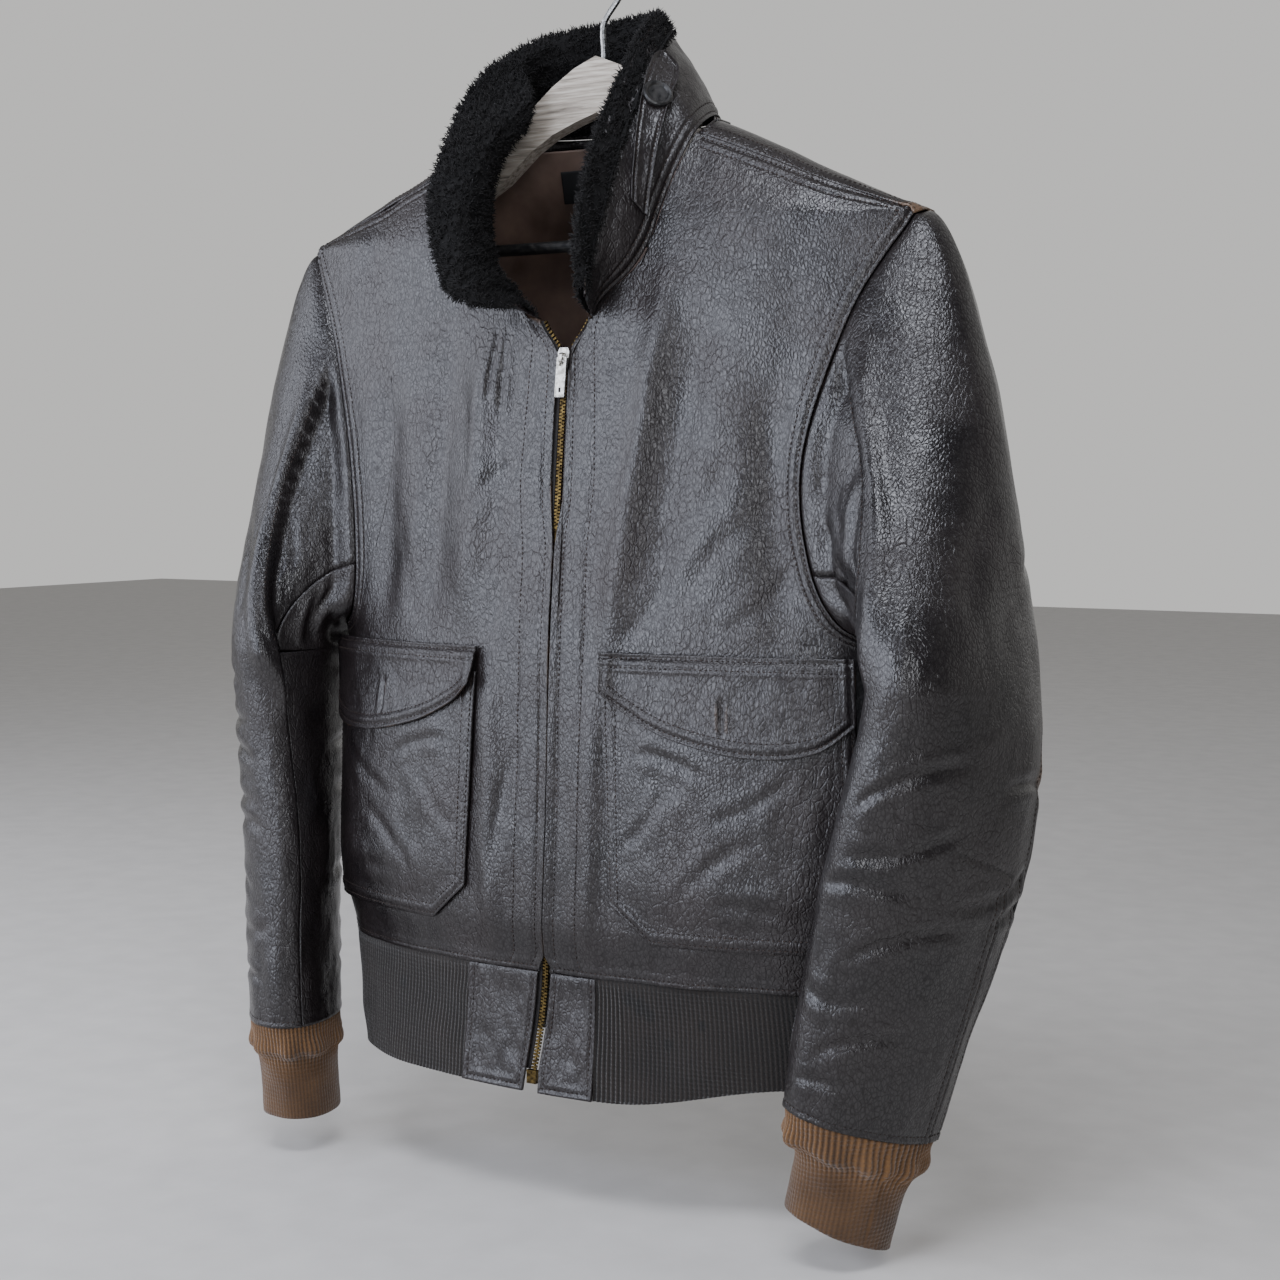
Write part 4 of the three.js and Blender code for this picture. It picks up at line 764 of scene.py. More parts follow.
def weathered_wood(name):
    """Bare softwood gone grey: long grain lines, open pores and pale streaks."""
    material, tree, board = new_material(name)
    stretched = places(tree, tuple(per_metre(size) for size in WOOD_GRAIN))
    lines = {"Vector": stretched, "Scale": 1.0, "Detail": 6.0, "Roughness": 0.6, "Distortion": 0.4}
    grain = node(tree, "TexNoise", "Fac", lines)
    streaks = [(0.3, linear("#5f584f")), (0.5, linear("#a39a8e")), (0.72, linear("#cdc6bb"))]
    colour = node(tree, "ValToRGB", "Color", {"Fac": grain}, streaks)
    normal = node(tree, "Bump", "Normal", {"Height": grain, "Strength": 0.4, "Distance": 0.0006})
    fill(tree, board, {"Base Color": colour, "Roughness": 0.75, "Normal": normal})
    return material


def black_enamel(name, roughness):
    """Hard black finish with faint dust."""
    material, tree, enamel = new_material(name)
    where = {"Vector": places(tree), "Scale": per_metre(DUST_PATCH), "Detail": 5.0}
    dust = node(tree, "TexNoise", "Fac", where)
    dusty = [(0.4, linear("#121213")), (0.8, linear("#33312f"))]
    colour = node(tree, "ValToRGB", "Color", {"Fac": dust}, dusty)
    dull = [(0.3, grey(roughness)), (0.8, grey(roughness + 0.3))]
    rough = node(tree, "ValToRGB", "Color", {"Fac": dust}, dull)
    fill(tree, enamel, {"Base Color": colour, "Roughness": rough})
    return material


BODY_LEATHER = leather("cowhide_worn_finish", "#141112", "#211b1b")
SLEEVE_LEATHER = leather("cowhide_sleeves", "#131011", "#1f1a1a", 0.28)
TRIM_LEATHER = leather("cowhide_turned_edges", "#141011", "#201a1a", 0.33)
CUFF_WOOL = yarn("wool_rib_faded", "#3a2613", "#73522f")
HEM_WOOL = yarn("wool_rib_dark", "#0c0907", "#211913")
FUR_PILE = pile("sheepskin_pile", "#030202", "#120f0e")
LINING_CLOTH = woven("lining_satin", "#503f37", "#7b6559", gloss=0.4)
LABEL_CLOTH = woven("label_ribbon", "#0f0f11", "#1d1d20")
TAPE_CLOTH = woven("cotton_zip_tape", "#141212", "#262120")
THREAD = woven("sewing_thread", "#1d1512", "#3a2b23")
BRASS = metal("aged_brass", "#6a5935", "#2a2215")
NICKEL = metal("worn_nickel", "#d4d2cc", "#8f8c86", 0.25)
STEEL = metal("steel_wire", "#c9c9c7", "#8d8d8b", 0.22)
GREY_WOOD = weathered_wood("weathered_softwood")
BLACK_BAR = black_enamel("black_enamel_bar", 0.35)
BLACK_BUTTON = black_enamel("black_button_resin", 0.25)


# Fronts
FRONT_CREASES = {
    1: [
        (120, -200, 74, -258, 8, 7, -0.9), (150, -230, 96, -290, -6, 6, -0.9),
        (165, -262, 124, -306, 5, 5, -0.9), (60, -150, 52, -215, 3, 5, -0.7),
        (108, -120, 96, -188, -4, 8, -0.7), (88, -262, 60, -312, 4, 5, -0.8),
    ],
    -1: [
        (28, -122, 30, -178, 1, 1.6, -1.4), (36, -118, 39, -172, 1, 1.6, -1.4),
        (44, -116, 48, -164, 1, 1.6, -1.3), (22, -200, 62, -238, 4, 5, -1.0),
        (70, -150, 64, -260, -4, 7, -0.9), (100, -140, 112, -240, 5, 8, -0.9),
        (28, -260, 40, -312, -2, 5, -0.9), (120, -230, 100, -306, 4, 8, -1.0),
        (16, -380, 34, -470, 3, 5, -1.0),
    ],
}
ZIP_SEAM, EDGE_SEAM = (6.5, 23), (2.5, 9)      # rows of stitches, measured from the piece's edge
SHOULDER_COLUMN = 48                           # first column of a front whose top is the shoulder seam


def wrinkles(x, h, tall=30.0, wide=15.0, rise=0.22):
    """Small uneven wrinkles that run up and down."""
    drift = 0.6 * ripple(h / 60, x / 60)
    small = 0.5 * ripple(2.3 * x / wide, 2.1 * h / tall + 9)
    return rise * (ripple(x / wide + drift, h / tall) + small)


def worn_edge(d, width=3.0):
    return np.exp(-d / width)


def make_front(side, word):
    grid, p = front_grid(side)
    normals = grid_normals(grid, side)
    x, h = np.abs(grid[..., 0]), grid[..., 2]
    from_zip, from_side, from_waist, from_top = edge_distances(grid)
    under_pocket = ((p > 0.02) & (p < 0.98))[None, :] * smooth(h, POCKET_BOTTOM - 6, POCKET_BOTTOM + 6)
    open_part = 1 - under_pocket * (1 - smooth(h, FLAP_TOP - 4, FLAP_TOP + 6))
    beside_arm = smooth(h, ARMPIT - 4, ARMPIT + 6)
    rise = creases(x, h, FRONT_CREASES[side]) + wrinkles(x, h) + wrinkles(x, h + 40 * side, 110, 40, 0.9)
    rise *= open_part
    rise += lapped_seam(from_zip, ZIP_SEAM, 0.6, 25) * smooth(h, WAIST, WAIST + 8)
    rise += lapped_seam(from_side) * beside_arm + lapped_seam(from_waist, (3,), 0.8, 6)
    rise += lapped_seam(from_top, (3, 9), 0.7, 11) * smooth(p, 0.02, 0.08)[None, :]
    grid, normals = raised(grid, normals, rise, side)
    wear = 0.45 * worn_edge(from_side) * beside_arm + 0.6 * worn_edge(from_zip, 2.5)
    wear += 0.4 * worn_edge(from_top)
    piece = cloth(f"front_{word}", grid, normals, side, BODY_LEATHER, wear=wear)
    for d in ZIP_SEAM:
        sew(line_along_rows(grid, normals, from_zip, d))
    for d in EDGE_SEAM:
        sew(line_along_rows(grid, normals, from_side, d, slice(FRONT_LOW_ROWS + 2, None)))
        sew(line_along_columns(grid, normals, from_top, d, slice(SHOULDER_COLUMN, None)))
    sew(line_along_columns(grid, normals, from_waist, 3))


for side, word in SIDES:
    make_front(side, word)

# Back
BACK_CREASES = [
    (0, -180, 20, -330, 6, 8, -1.6), (-70, -120, -40, -300, -8, 9, -1.8),
    (80, -140, 60, -330, 8, 9, -1.8), (-130, -300, -60, -420, 8, 7, -1.5),
    (130, -310, 66, -430, -8, 7, -1.5), (-100, -440, 40, -470, 6, 6, -1.3),
    (150, -420, 60, -500, 5, 6, -1.4), (-160, -430, -80, -506, -5, 6, -1.4),
]


def make_back():
    grid = np.concatenate([back_half(1)[:, ::-1], back_half(-1)[:, 1:]], 1)
    normals = grid_normals(grid, 1)
    from_left, from_right, from_waist, from_seam = edge_distances(grid)
    x, h = grid[..., 0], grid[..., 2]
    beside_arm = smooth(h, ARMPIT - 4, ARMPIT + 6)
    rise = creases(x, h, BACK_CREASES) + wrinkles(x, h) + wrinkles(x, h, 110, 40, 0.9)
    rise += (lapped_seam(from_left) + lapped_seam(from_right)) * beside_arm
    rise += lapped_seam(from_waist, (3,), 0.8, 6) + lapped_seam(from_seam, (2.5, 8), 0.8, 10)
    grid, normals = raised(grid, normals, rise, 1)
    wear = 0.45 * (worn_edge(from_left) + worn_edge(from_right)) * beside_arm + 0.5 * worn_edge(from_seam)
    wear += 1.1 * np.exp(-((np.abs(x) - 219) / 9) ** 2) * np.exp(-((h + 56) / 9) ** 2)
    piece = cloth("back", grid, normals, 1, BODY_LEATHER, wear=wear)
    beside = slice(BACK_LOW_ROWS + 2, None)
    for d in EDGE_SEAM:
        sew(line_along_rows(grid, normals, from_left, d, beside))
        sew(line_along_rows(grid, normals, from_right, d, beside))
        sew(line_along_columns(grid, normals, from_seam, d - 0.5))


make_back()

# Sleeves: the top piece, the under piece and the gusset in the armpit
SLEEVE_CREASES = {
    1: [
        (20, -372, 84, -392, 5, 4, -1.8), (10, -412, 78, -420, -5, 4, -1.8),
        (24, -446, 96, -438, 4, 4, -1.6), (-8, -470, 60, -482, 5, 4, -1.6),
        (36, -508, 92, -500, -4, 4, -1.5), (10, -532, 70, -540, 4, 4, -1.4),
        (-60, -440, 0, -456, -6, 4, -1.4), (-70, -400, -14, -388, 5, 4, -1.4),
        (-84, -466, -30, -470, 4, 4, -1.5), (-50, -250, 10, -300, 8, 6, -1.2),
        (0, -220, 30, -300, 6, 6, -1.2), (40, -562, 90, -556, 3, 3, -1.2),
    ],
    -1: [
        (-20, -340, 60, -352, 5, 4, -1.6), (-10, -370, 66, -376, -4, 4, -1.7),
        (-24, -398, 70, -402, 4, 4, -1.8), (-16, -424, 62, -430, -4, 4, -1.7),
        (0, -452, 70, -448, 4, 4, -1.5), (-20, -486, 50, -494, 4, 4, -1.4),
        (10, -520, 74, -516, -4, 4, -1.4), (30, -240, 60, -310, 6, 6, -1.2),
        (-10, -556, 60, -552, 3, 3, -1.3),
    ],
}
GUSSET_CREASES = [
    (-62, 8, -20, 40, 4, 4, -2.2), (-60, 24, -16, 66, -4, 4, -2.2), (-50, 50, 10, 92, 5, 5, -2.0),
    (-30, 6, 30, 30, 4, 5, -2.0), (0, 40, 60, 70, -4, 5, -2.0), (30, 10, 90, 50, 4, 5, -2.0),
]


def sleeve_wear(side, turn, h, from_back, from_front, from_cuff):
    edges = 0.4 * (worn_edge(from_back) + worn_edge(from_front) + worn_edge(from_cuff))
    elbow = np.exp(-((((turn - 270) % 360 - 34) / 13) ** 2)) * np.exp(-(((h + 382) / 18) ** 2))
    return edges + (1.0 if side > 0 else 0.4) * elbow


gusset_reach = through([(26, 0), (38, 10), (48, 36), (58, 66), (75, 84), (94, 88), (113, 80)])
FOREARM_SEAM, FOREARM_TOP = -38, -443          # degrees round the arm, height of its upper end
ELBOW_SEAM_END, ELBOW_SLOPE = 6, 19 / 43
MM_PER_DEGREE = 0.9


def below_gusset(around, from_head):
    """Distance from the slanting seam below the armhole; less than nothing on the slack strip above it."""
    return from_head - np.where(around > 26, gusset_reach(around), 0)


def strip_rise(side, around, from_head):
    d = below_gusset(around, from_head)
    in_front = smooth(around, 26, 44)
    slack = -9 * (1 - smooth(d, -9, 1)) * smooth(from_head, 2, 16) + 4.5 * np.exp(-(((d - 24) / 17) ** 2))
    deep = 2.0 if side > 0 else 0.8
    folds = deep * ripple(from_head / 9 + around / 30, around / 11)
    folds *= (1 - smooth(d, -6, 4)) * smooth(from_head, 3, 12)
    return in_front * (slack + folds + np.where(d > 0, lapped_seam(np.abs(d), (2.5,), 0.9, 7), 0))


def forearm_seams(around, h):
    along = (around - FOREARM_SEAM) * MM_PER_DEGREE
    down = smooth(-h, -FOREARM_TOP, 4 - FOREARM_TOP)
    across = h - FOREARM_TOP - ELBOW_SLOPE * (around - FOREARM_SEAM)
    elbow = smooth(around, FOREARM_SEAM, FOREARM_SEAM + 3)
    elbow *= 1 - smooth(around, ELBOW_SEAM_END, ELBOW_SEAM_END + 6)
    fell = np.where(along > 0, lapped_seam(np.abs(along), (2.5, 8), 1.0, 10), 0)
    return down * fell - 1.3 * elbow * np.exp(-((across / 1.3) ** 2))


UNDER_COLUMNS = np.linspace(FRONT_SEAM, BACK_SEAM, 90)


def make_sleeve_top(side, word):
    q = np.concatenate([np.linspace(BACK_SEAM, 1, 34, False), np.linspace(1, 1.1, 7, False),
                        np.linspace(-1, FRONT_SEAM, 46)])
    grid, turn = sleeve_grid(side, q, 90, 150)
    normals = grid_normals(grid, side)
    h = grid[..., 2]
    around = ((turn + 180) % 360 - 180)[None, :] + 0 * h
    from_back, from_front, from_head, from_cuff = edge_distances(grid)
    rise = creases(around, h, SLEEVE_CREASES[side])
    rise += wrinkles(around, h, 26, 16, 0.45) + wrinkles(around, h, 90, 36, 0.9)
    rise = rise * smooth(from_head, 6, 26) + strip_rise(side, around, from_head) + forearm_seams(around, h)
    rise += lapped_seam(from_back, (2.5, 8), 0.8, 10) + lapped_seam(from_cuff, (4,), 0.6, 6)
    rise -= 0.8 * np.exp(-from_head / 2.5)
    grid, normals = raised(grid, normals, rise, side)
    wear = sleeve_wear(side, turn[None, :], h, from_back, from_front, from_cuff)
    piece = cloth(f"sleeve_{word}_top", grid, normals, side, SLEEVE_LEATHER, wear=wear)
    forearm = (around - FOREARM_SEAM) * MM_PER_DEGREE
    for d in (2.5, 8):
        sew(line_along_rows(grid, normals, from_back, d, slice(60, None)))
        sew(line_along_rows(grid, normals, forearm, d, slice(157, None)))
    sew(line_along_columns(grid, normals, from_cuff, 4))
    sew(line_along_columns(grid, normals, below_gusset(around, from_head), 2.5, slice(-28, -1)))


def make_gusset(side, word):
    grid, turn = sleeve_grid(side, UNDER_COLUMNS, 46, 0)
    normals = grid_normals(grid, side)
    from_front, from_back, from_head, from_end = edge_distances(grid)
    around = (turn - 180)[None, :] + 0 * from_head
    rise = creases(around, from_head, GUSSET_CREASES) + wrinkles(around, from_head, 14, 12, 0.8)
    rise = rise * smooth(nearest(from_head, from_end), 0, 8) - 0.7 * np.exp(-from_head / 2.5)
    rise -= 8 * np.exp(-(((around + 67) / 26) ** 2)) * smooth(from_head, 2, 16)
    grid, normals = raised(grid, normals, rise, side)
    piece = cloth(f"gusset_{word}", grid, normals, side, TRIM_LEATHER)


def make_sleeve_under(side, word):
    grid, turn = sleeve_grid(side, UNDER_COLUMNS, 0, 110)
    normals = grid_normals(grid, side)
    from_front, from_back, from_end, from_cuff = edge_distances(grid)
    around = (turn - 180)[None, :] + 0 * from_end
    h = grid[..., 2]
    rise = creases(around, h, SLEEVE_CREASES[side]) + wrinkles(around, h, 22, 14, 0.6)
    rise += lapped_seam(from_cuff, (4,), 0.6, 6)
    grid, normals = raised(grid, normals, rise, side)
    wear = 0.3 * worn_edge(from_front) + 0.4 * worn_edge(from_cuff)
    piece = cloth(f"sleeve_{word}_under", grid, normals, side, SLEEVE_LEATHER, wear=wear)


for side, word in SIDES:
    make_sleeve_top(side, word)
    make_gusset(side, word)
    make_sleeve_under(side, word)

# Cuffs and hem: ribs are raised in the knit
RIB_WIDE = 3.0
CUFF_RIBS, SAMPLES_PER_RIB = 72, 6
RIB_RISE = 0.45
CUFF_DOWN = [0.4, 10, 19, 25, 40, 66]
cuff_deep = through(list(zip(CUFF_DOWN, [50, 48, 47, 39, 35, 34])))
cuff_thick = through(list(zip(CUFF_DOWN, [30, 30, 31, 28, 26.5, 26])))


def make_cuff(side, word):
    turn = np.linspace(0, 360, CUFF_RIBS * SAMPLES_PER_RIB, False)
    down = np.linspace(0.4, 66, 44)[:, None] + 0 * turn
    rings = [sleeve_section(side, turn, CUFF_SEAM - d, cuff_deep(d), cuff_thick(d)) for d in down[:, 0]]
    grid = np.array(rings)
    normals = grid_normals(grid, side, True)
    rib = np.cos(np.radians(turn) * CUFF_RIBS)[None, :] * (1 - 0.7 * smooth(down, 22, 34))
    frill = 1.6 * np.sin(np.radians(turn) * 9 + 2 * ripple(turn / 40, 0 * turn))[None, :]
    frill = frill * smooth(down, 4, 18) * (1 - smooth(down, 20, 27))
    slack = 1.0 * ripple(turn[None, :] / 30, down / 16) * smooth(down, 0, 10)
    grid, normals = raised(grid, normals, RIB_RISE * rib + frill + slack, side, True)
    # The tone is lighter on the rib crests and darker in the troughs between them, which is painted highlight
    # and painted shade. It is also darker on the cuff's lower part.
    tone = 0.3 + 0.25 * rib - 0.12 * smooth(down, 20, 40)
    piece = cloth(f"cuff_{word}", grid, normals, side, CUFF_WOOL, KNIT, True, tone, slot="cuff_knit")


HEM_RISE = 18.0
RIB_START = {1: -0.35, -1: 0.0}                # where the rib begins across each front
BAND_LEATHER = 2.1


def waist_point(side, angle, share):
    rise = 0.0
    if side > 0:
        rise = HEM_RISE * smooth(angle, 12, 55) * (1 - smooth(angle, 120, 180))
    return body(side, angle, lerp(WAIST - 0.3, HEM, share) + rise * share)


# Moth holes in the front of the rib, drawn as painted dark spots of shade: x, height, size
MOTH_HOLE_SHADE_SPOTS = [
    (62, -536, 2.6), (70, -540, 3.4), (76, -545, 2.4), (88, -562, 2.0), (110, -548, 1.8), (-118, -550, 2.2),
]


def make_hem():
    rows = []
    for share in np.linspace(1, 0, 30):
        level = lerp(WAIST - 0.3, HEM, share)
        sides = []
        for side in (1, -1):
            p = np.linspace(RIB_START[side], 2, 500)
            angle = np.concatenate([front_lower(side, p, level), np.linspace(90, 180, 460)[1:]])
            sides.append(waist_point(side, angle, share))
        rows.append(np.concatenate([sides[0], sides[1][-2::-1]]))
    grid = np.array(rows)
    normals = grid_normals(grid, 1)
    run = edge_distances(grid)[0]
    share = np.linspace(1, 0, 30)[:, None]
    rib = np.cos(2 * np.pi * run[15] / RIB_WIDE)[None, :]
    slack = 1.6 * ripple(run / 40, share * 3) * smooth(share, 0, 0.25)
    grid, normals = raised(grid, normals, RIB_RISE * rib * smooth(share, 0, 0.1) + slack, 1)
    # The tone is lighter on the rib crests and darker in the troughs between them, which is painted highlight
    # and painted shade.
    tone = 0.25 + 0.25 * rib + 0 * run
    in_front = grid[..., 1] < 0
    # Each moth hole is a painted dark spot: painted shade where the hole shows the dark inside.
    for x, h, size in MOTH_HOLE_SHADE_SPOTS:
        away = (grid[..., 0] - x) ** 2 + (grid[..., 2] - h) ** 2
        tone -= 1.5 * np.exp(-(away / size**2)) * in_front
    piece = cloth("hem_rib", grid, normals, 1, HEM_WOOL, KNIT, wear=tone, slot="hem_knit")


def make_waistband(side, word):
    p = np.linspace(-1, RIB_START[side], 46 if side > 0 else 60)
    grid = np.array([waist_point(side, front_lower(side, p, lerp(WAIST - 0.3, HEM, share)), share)
                     for share in np.linspace(1, 0, 60)])
    normals = grid_normals(grid, side)
    x, h = np.abs(grid[..., 0]), grid[..., 2]
    from_zip, from_rib, from_hem, from_waist = edge_distances(grid)
    near = nearest(from_zip, from_rib, from_hem)
    rise = 0.6 + wrinkles(x, h, 16, 9, 0.8) * smooth(near, 0, 6) + lapped_seam(near, (3.5,), 0.7, 7)
    rise -= 1.2 * np.exp(-from_waist / 2)
    grid, normals = raised(grid, normals, rise, side)
    wear = 0.5 * worn_edge(near, 2.2)
    piece = cloth(f"waistband_{word}", grid, normals, side, TRIM_LEATHER, BAND_LEATHER, wear=wear)
    sew(line_along_rows(grid, normals, from_zip, 3.5))
    sew(line_along_rows(grid, normals, from_rib, 3.5))
    sew(line_along_columns(grid, normals, from_hem, 3.5))


for side, word in SIDES:
    make_cuff(side, word)
    make_waistband(side, word)
make_hem()

# Patch pockets and their flaps
POCKET_SEAT, FLAP_SEAT, FLAP_RAMP, POCKET_SWELL = 0.4, 0.65, 12.0, 4.0
CUT_P = 0.17
flap_depth = through([(0, 24), (0.12, 38), (0.3, 51), (0.6, 60), (0.85, 56), (1, 40)])


def pocket_swell(p, h):
    full = smooth(h, POCKET_BOTTOM, -460) * (1 - 0.7 * smooth(h, -380, POCKET_TOP))
    return POCKET_SWELL * np.abs(np.sin(np.pi * p)) ** 0.7 * full


def pocket_point(side, p, h, lift):
    h = np.asarray(h, float) + 0 * p
    pairs = zip(np.ravel(p), np.ravel(h))
    angle = np.array([front_lower(side, np.array([a]), b)[0] for a, b in pairs]).reshape(h.shape)
    bridge = 1.2 * smooth(p, 0.6, 0.9) * smooth(h, -375, POCKET_TOP)
    return body(side, angle, h, lift + bridge)


POCKET_CREASES = [
    (70, -380, 120, -396, 4, 3.5, -1.2), (90, -404, 60, -440, 4, 4, -1.2),
    (150, -430, 100, -470, -5, 4, -1.2), (170, -390, 120, -420, 4, 4, -1.0),
    (120, -470, 180, -480, 4, 4, -1.1),
]


def make_pocket(side, word):
    p = np.linspace(0, 1, 90)[None, :] + np.zeros((90, 1))
    up = np.linspace(0, 1, 90)[:, None]
    cut_h = lerp(POCKET_CUT, POCKET_BOTTOM, np.clip(p / CUT_P, 0, 1))
    h = lerp(np.where(p < CUT_P, cut_h, POCKET_BOTTOM), POCKET_TOP, up)
    grid = pocket_point(side, p, h, POCKET_SEAT + WALL + pocket_swell(p, h))
    normals = grid_normals(grid, side)
    from_zip, from_side, from_bottom, from_top = edge_distances(grid)
    edge = nearest(from_zip, from_side, from_bottom)
    x = np.abs(grid[..., 0])
    rise = (0.6 * creases(x, h, POCKET_CREASES) + wrinkles(x, h, 22, 12, 0.5)) * smooth(edge, 8, 18)
    rise += lapped_seam(edge, (2.5, 9), 1.1, 11)
    grid, normals = raised(grid, normals, rise, side)
    piece = cloth(f"pocket_{word}", grid, normals, side, BODY_LEATHER, wear=0.5 * worn_edge(edge, 2.5))
    for d in (2.5, 9):
        sew(line_along_rows(grid, normals, from_zip, d))
        sew(line_along_rows(grid, normals, from_side, d))
        sew(line_along_columns(grid, normals, from_bottom, d, slice(4, -4)))


BUTTONHOLE_P, BUTTONHOLE_H, BUTTONHOLE_TALL = 0.5, -356.0, 20.0


def buttonhole(p, h):
    """The slit of the flap's buttonhole and the two lips beside it, both from 0 to 1."""
    across, up = np.abs(p - BUTTONHOLE_P) * POCKET_WIDTH, (h - BUTTONHOLE_H) / BUTTONHOLE_TALL
    slit = np.exp(-((across / 1.4) ** 2)) * np.exp(-((up / 0.55) ** 6))
    lips = np.exp(-(((across - 3) / 1.6) ** 2)) * np.exp(-((up / 0.6) ** 6))
    return slit, lips


def make_flap(side, word):
    p = np.linspace(0, 1, 110)[None, :] + np.zeros((56, 1))
    down = np.linspace(1, 0, 56)[:, None] * flap_depth(p)
    h = FLAP_TOP - down
    over = FLAP_SEAT + POCKET_SEAT + WALL + pocket_swell(p, h)
    lift = lerp(FLAP_SEAT, over, smooth(down, 0, FLAP_RAMP)) + WALL
    grid = pocket_point(side, p, h, lift)
    normals = grid_normals(grid, side)
    from_zip, from_side, from_edge, from_top = edge_distances(grid)
    edge = nearest(from_zip, from_side, from_edge)
    x = np.abs(grid[..., 0])
    rise = wrinkles(x, h, 14, 12, 0.5) * smooth(edge, 3, 12) + lapped_seam(edge, (3, 9.5), 1.3, 11)
    rise += lapped_seam(from_top, (3, 9), 1.3, 11)
    corner = np.exp(-((from_zip / 14) ** 2)) * np.exp(-((from_edge / 12) ** 2))
    rise += 5 * corner
    slit, lips = buttonhole(p, h)
    rise += 0.8 * lips - 1.6 * slit
    grid, normals = raised(grid, normals, rise, side)
    wear = 0.6 * worn_edge(edge, 2.2) + 0.9 * lips
    piece = cloth(f"flap_{word}", grid, normals, side, TRIM_LEATHER, wear=wear)
    for d in (3, 9.5):
        sew(line_along_columns(grid, normals, from_edge, d, slice(3, -3)))
    for d in (3, 9):
        sew(line_along_columns(grid, normals, from_top, d, slice(3, -3)))


for side, word in SIDES:
    make_pocket(side, word)
    make_flap(side, word)

# Zip: tapes behind the fronts' edges, teeth up to the slider and on the two open tracks above it
TAPE_SHOWS, TAPE_HIDDEN, TAPE_BEHIND = 1.9, 9.0, -2.0
ZIP_FOOT, TAPE_TOP = HEM + 14, NECK_LOW - 1
TAPE_THICK = 0.8
TOOTH_PITCH = 2.15
TOOTH = np.array([2.3, 1.5, 1.25])
TOOTH_BEHIND, TRACK_OFF, CHAIN_HALF = -1.7, 1.3, 0.8


def make_tape(side, word):
    h = np.linspace(ZIP_FOOT, TAPE_TOP, 150)[:, None]
    x = side * (front_edge(side, h) + np.linspace(-TAPE_SHOWS, TAPE_HIDDEN, 15)[None, :])
    grid = at_x(x, h + 0 * x, TAPE_BEHIND)
    normals = grid_normals(grid, side)
    piece = cloth(f"zip_tape_{word}", grid, normals, side, TAPE_CLOTH, TAPE_THICK, turn_in=1, slot="zip_tape")


def teeth(name, x, h):
    """Small brass blocks set along the zip at the given places."""
    middle = at_x(x, h, TOOTH_BEHIND)
    out = unit(at_x(x, h, 1.0) - middle)
    up = unit(np.gradient(middle, axis=0))
    across = np.cross(out, up)
    corners = [(i, j, k) for i in (-1, 1) for j in (-1, 1) for k in (-1, 1)]
    points = np.stack([middle + across * i * TOOTH[0] / 2 + out * j * TOOTH[1] / 2 + up * k * TOOTH[2] / 2
                       for i, j, k in corners], 1)
    box = np.array([[0, 1, 3, 2], [4, 6, 7, 5], [0, 4, 5, 1], [2, 3, 7, 6], [0, 2, 6, 4], [1, 5, 7, 3]])
    faces = (np.arange(len(points))[:, None, None] * 8 + box).reshape(-1, 4)
    piece = add_mesh(name, points, faces, BRASS, flat=True)
    dress(piece, "zip_brass", name)


for side, word in SIDES:
    make_tape(side, word)
    h = np.arange(SLIDER_H + 9, TAPE_TOP, TOOTH_PITCH)
    teeth(f"zip_track_{word}", side * (front_edge(side, h) - TAPE_SHOWS - TRACK_OFF), h)
h = np.arange(ZIP_FOOT, SLIDER_H - 6, TOOTH_PITCH / 2)
teeth("zip_chain", zip_line(h) + CHAIN_HALF * (-1.0) ** np.arange(len(h)), h)

# Collar: columns of points run from the right front round the neck to the left front
COLLAR_EDGE = [                                # column; x, y and height of the leaves' free edge
    (0, -14, -80, -106), (1, -36, -91, -104), (2, -58, -90, -90), (4, -79, -72, -32), (6, -82, -20, 42),
    (8, -62, 22, 77), (11, -4, 45, 89), (13, 24, 30, 89), (15, 33, 0, 78), (16, 33, -22, 56),
    (18, 36, -68, -6), (20, 34, -83, -60), (21, 36, -82, -85), (22, 34, -76, -100),
]
COLLAR_LEATHER, COLLAR_BELLY, COLLAR_GAP = 1.4, 9.0, 0.7
LEATHER_EDGE = 0.92            # share of a leaf's width where its leather ends
fur_deep = through([(0, 3), (0.25, 11), (0.7, 12), (0.92, 10)])
fur_full = through([(0, 0.25), (1.2, 0.85), (3, 1), (12, 1), (14, 0.6), (17, 0.55), (19, 0.8), (22, 0.6)])
fur_seat = through([(0, 1), (3, 0.7), (16, 0.8), (18, 1), (20, 1.3), (22, 1.3)])
fur_rolled = through([(0, 1), (2, 1.7), (4, 2.3), (5, 3.1), (6, 3.7), (7, 1.9), (9, 1), (22, 1)])
FUR_REACH, FUR_OVER, EDGE_SEAT = 5.0, 3.0, 1.4
FUR_SPREAD = 0.75              # how far the pile lies out over the left leaf's leather


def neck_side(side):
    p = np.array([-1, -0.84, -0.68, -0.52, -0.35, -0.17, 0])
    x, h = front_top(side, p)
    front = body(side, angle_at_x(side, x, h), h)
    back = body(side, *back_top(side, np.array([NECK_END, 0.3, 0.2, 0.1])))
    return np.concatenate([front, back])


neck_back = body(1, np.array([180.0]), np.array([NECK_BACK_H]))
seam_points = np.concatenate([neck_side(-1), neck_back, neck_side(1)[::-1]])
seam_curve = [through(list(enumerate(seam_points[:, axis]))) for axis in range(3)]
edge_curve = [through([(row[0], row[axis]) for row in COLLAR_EDGE]) for axis in (1, 2, 3)]


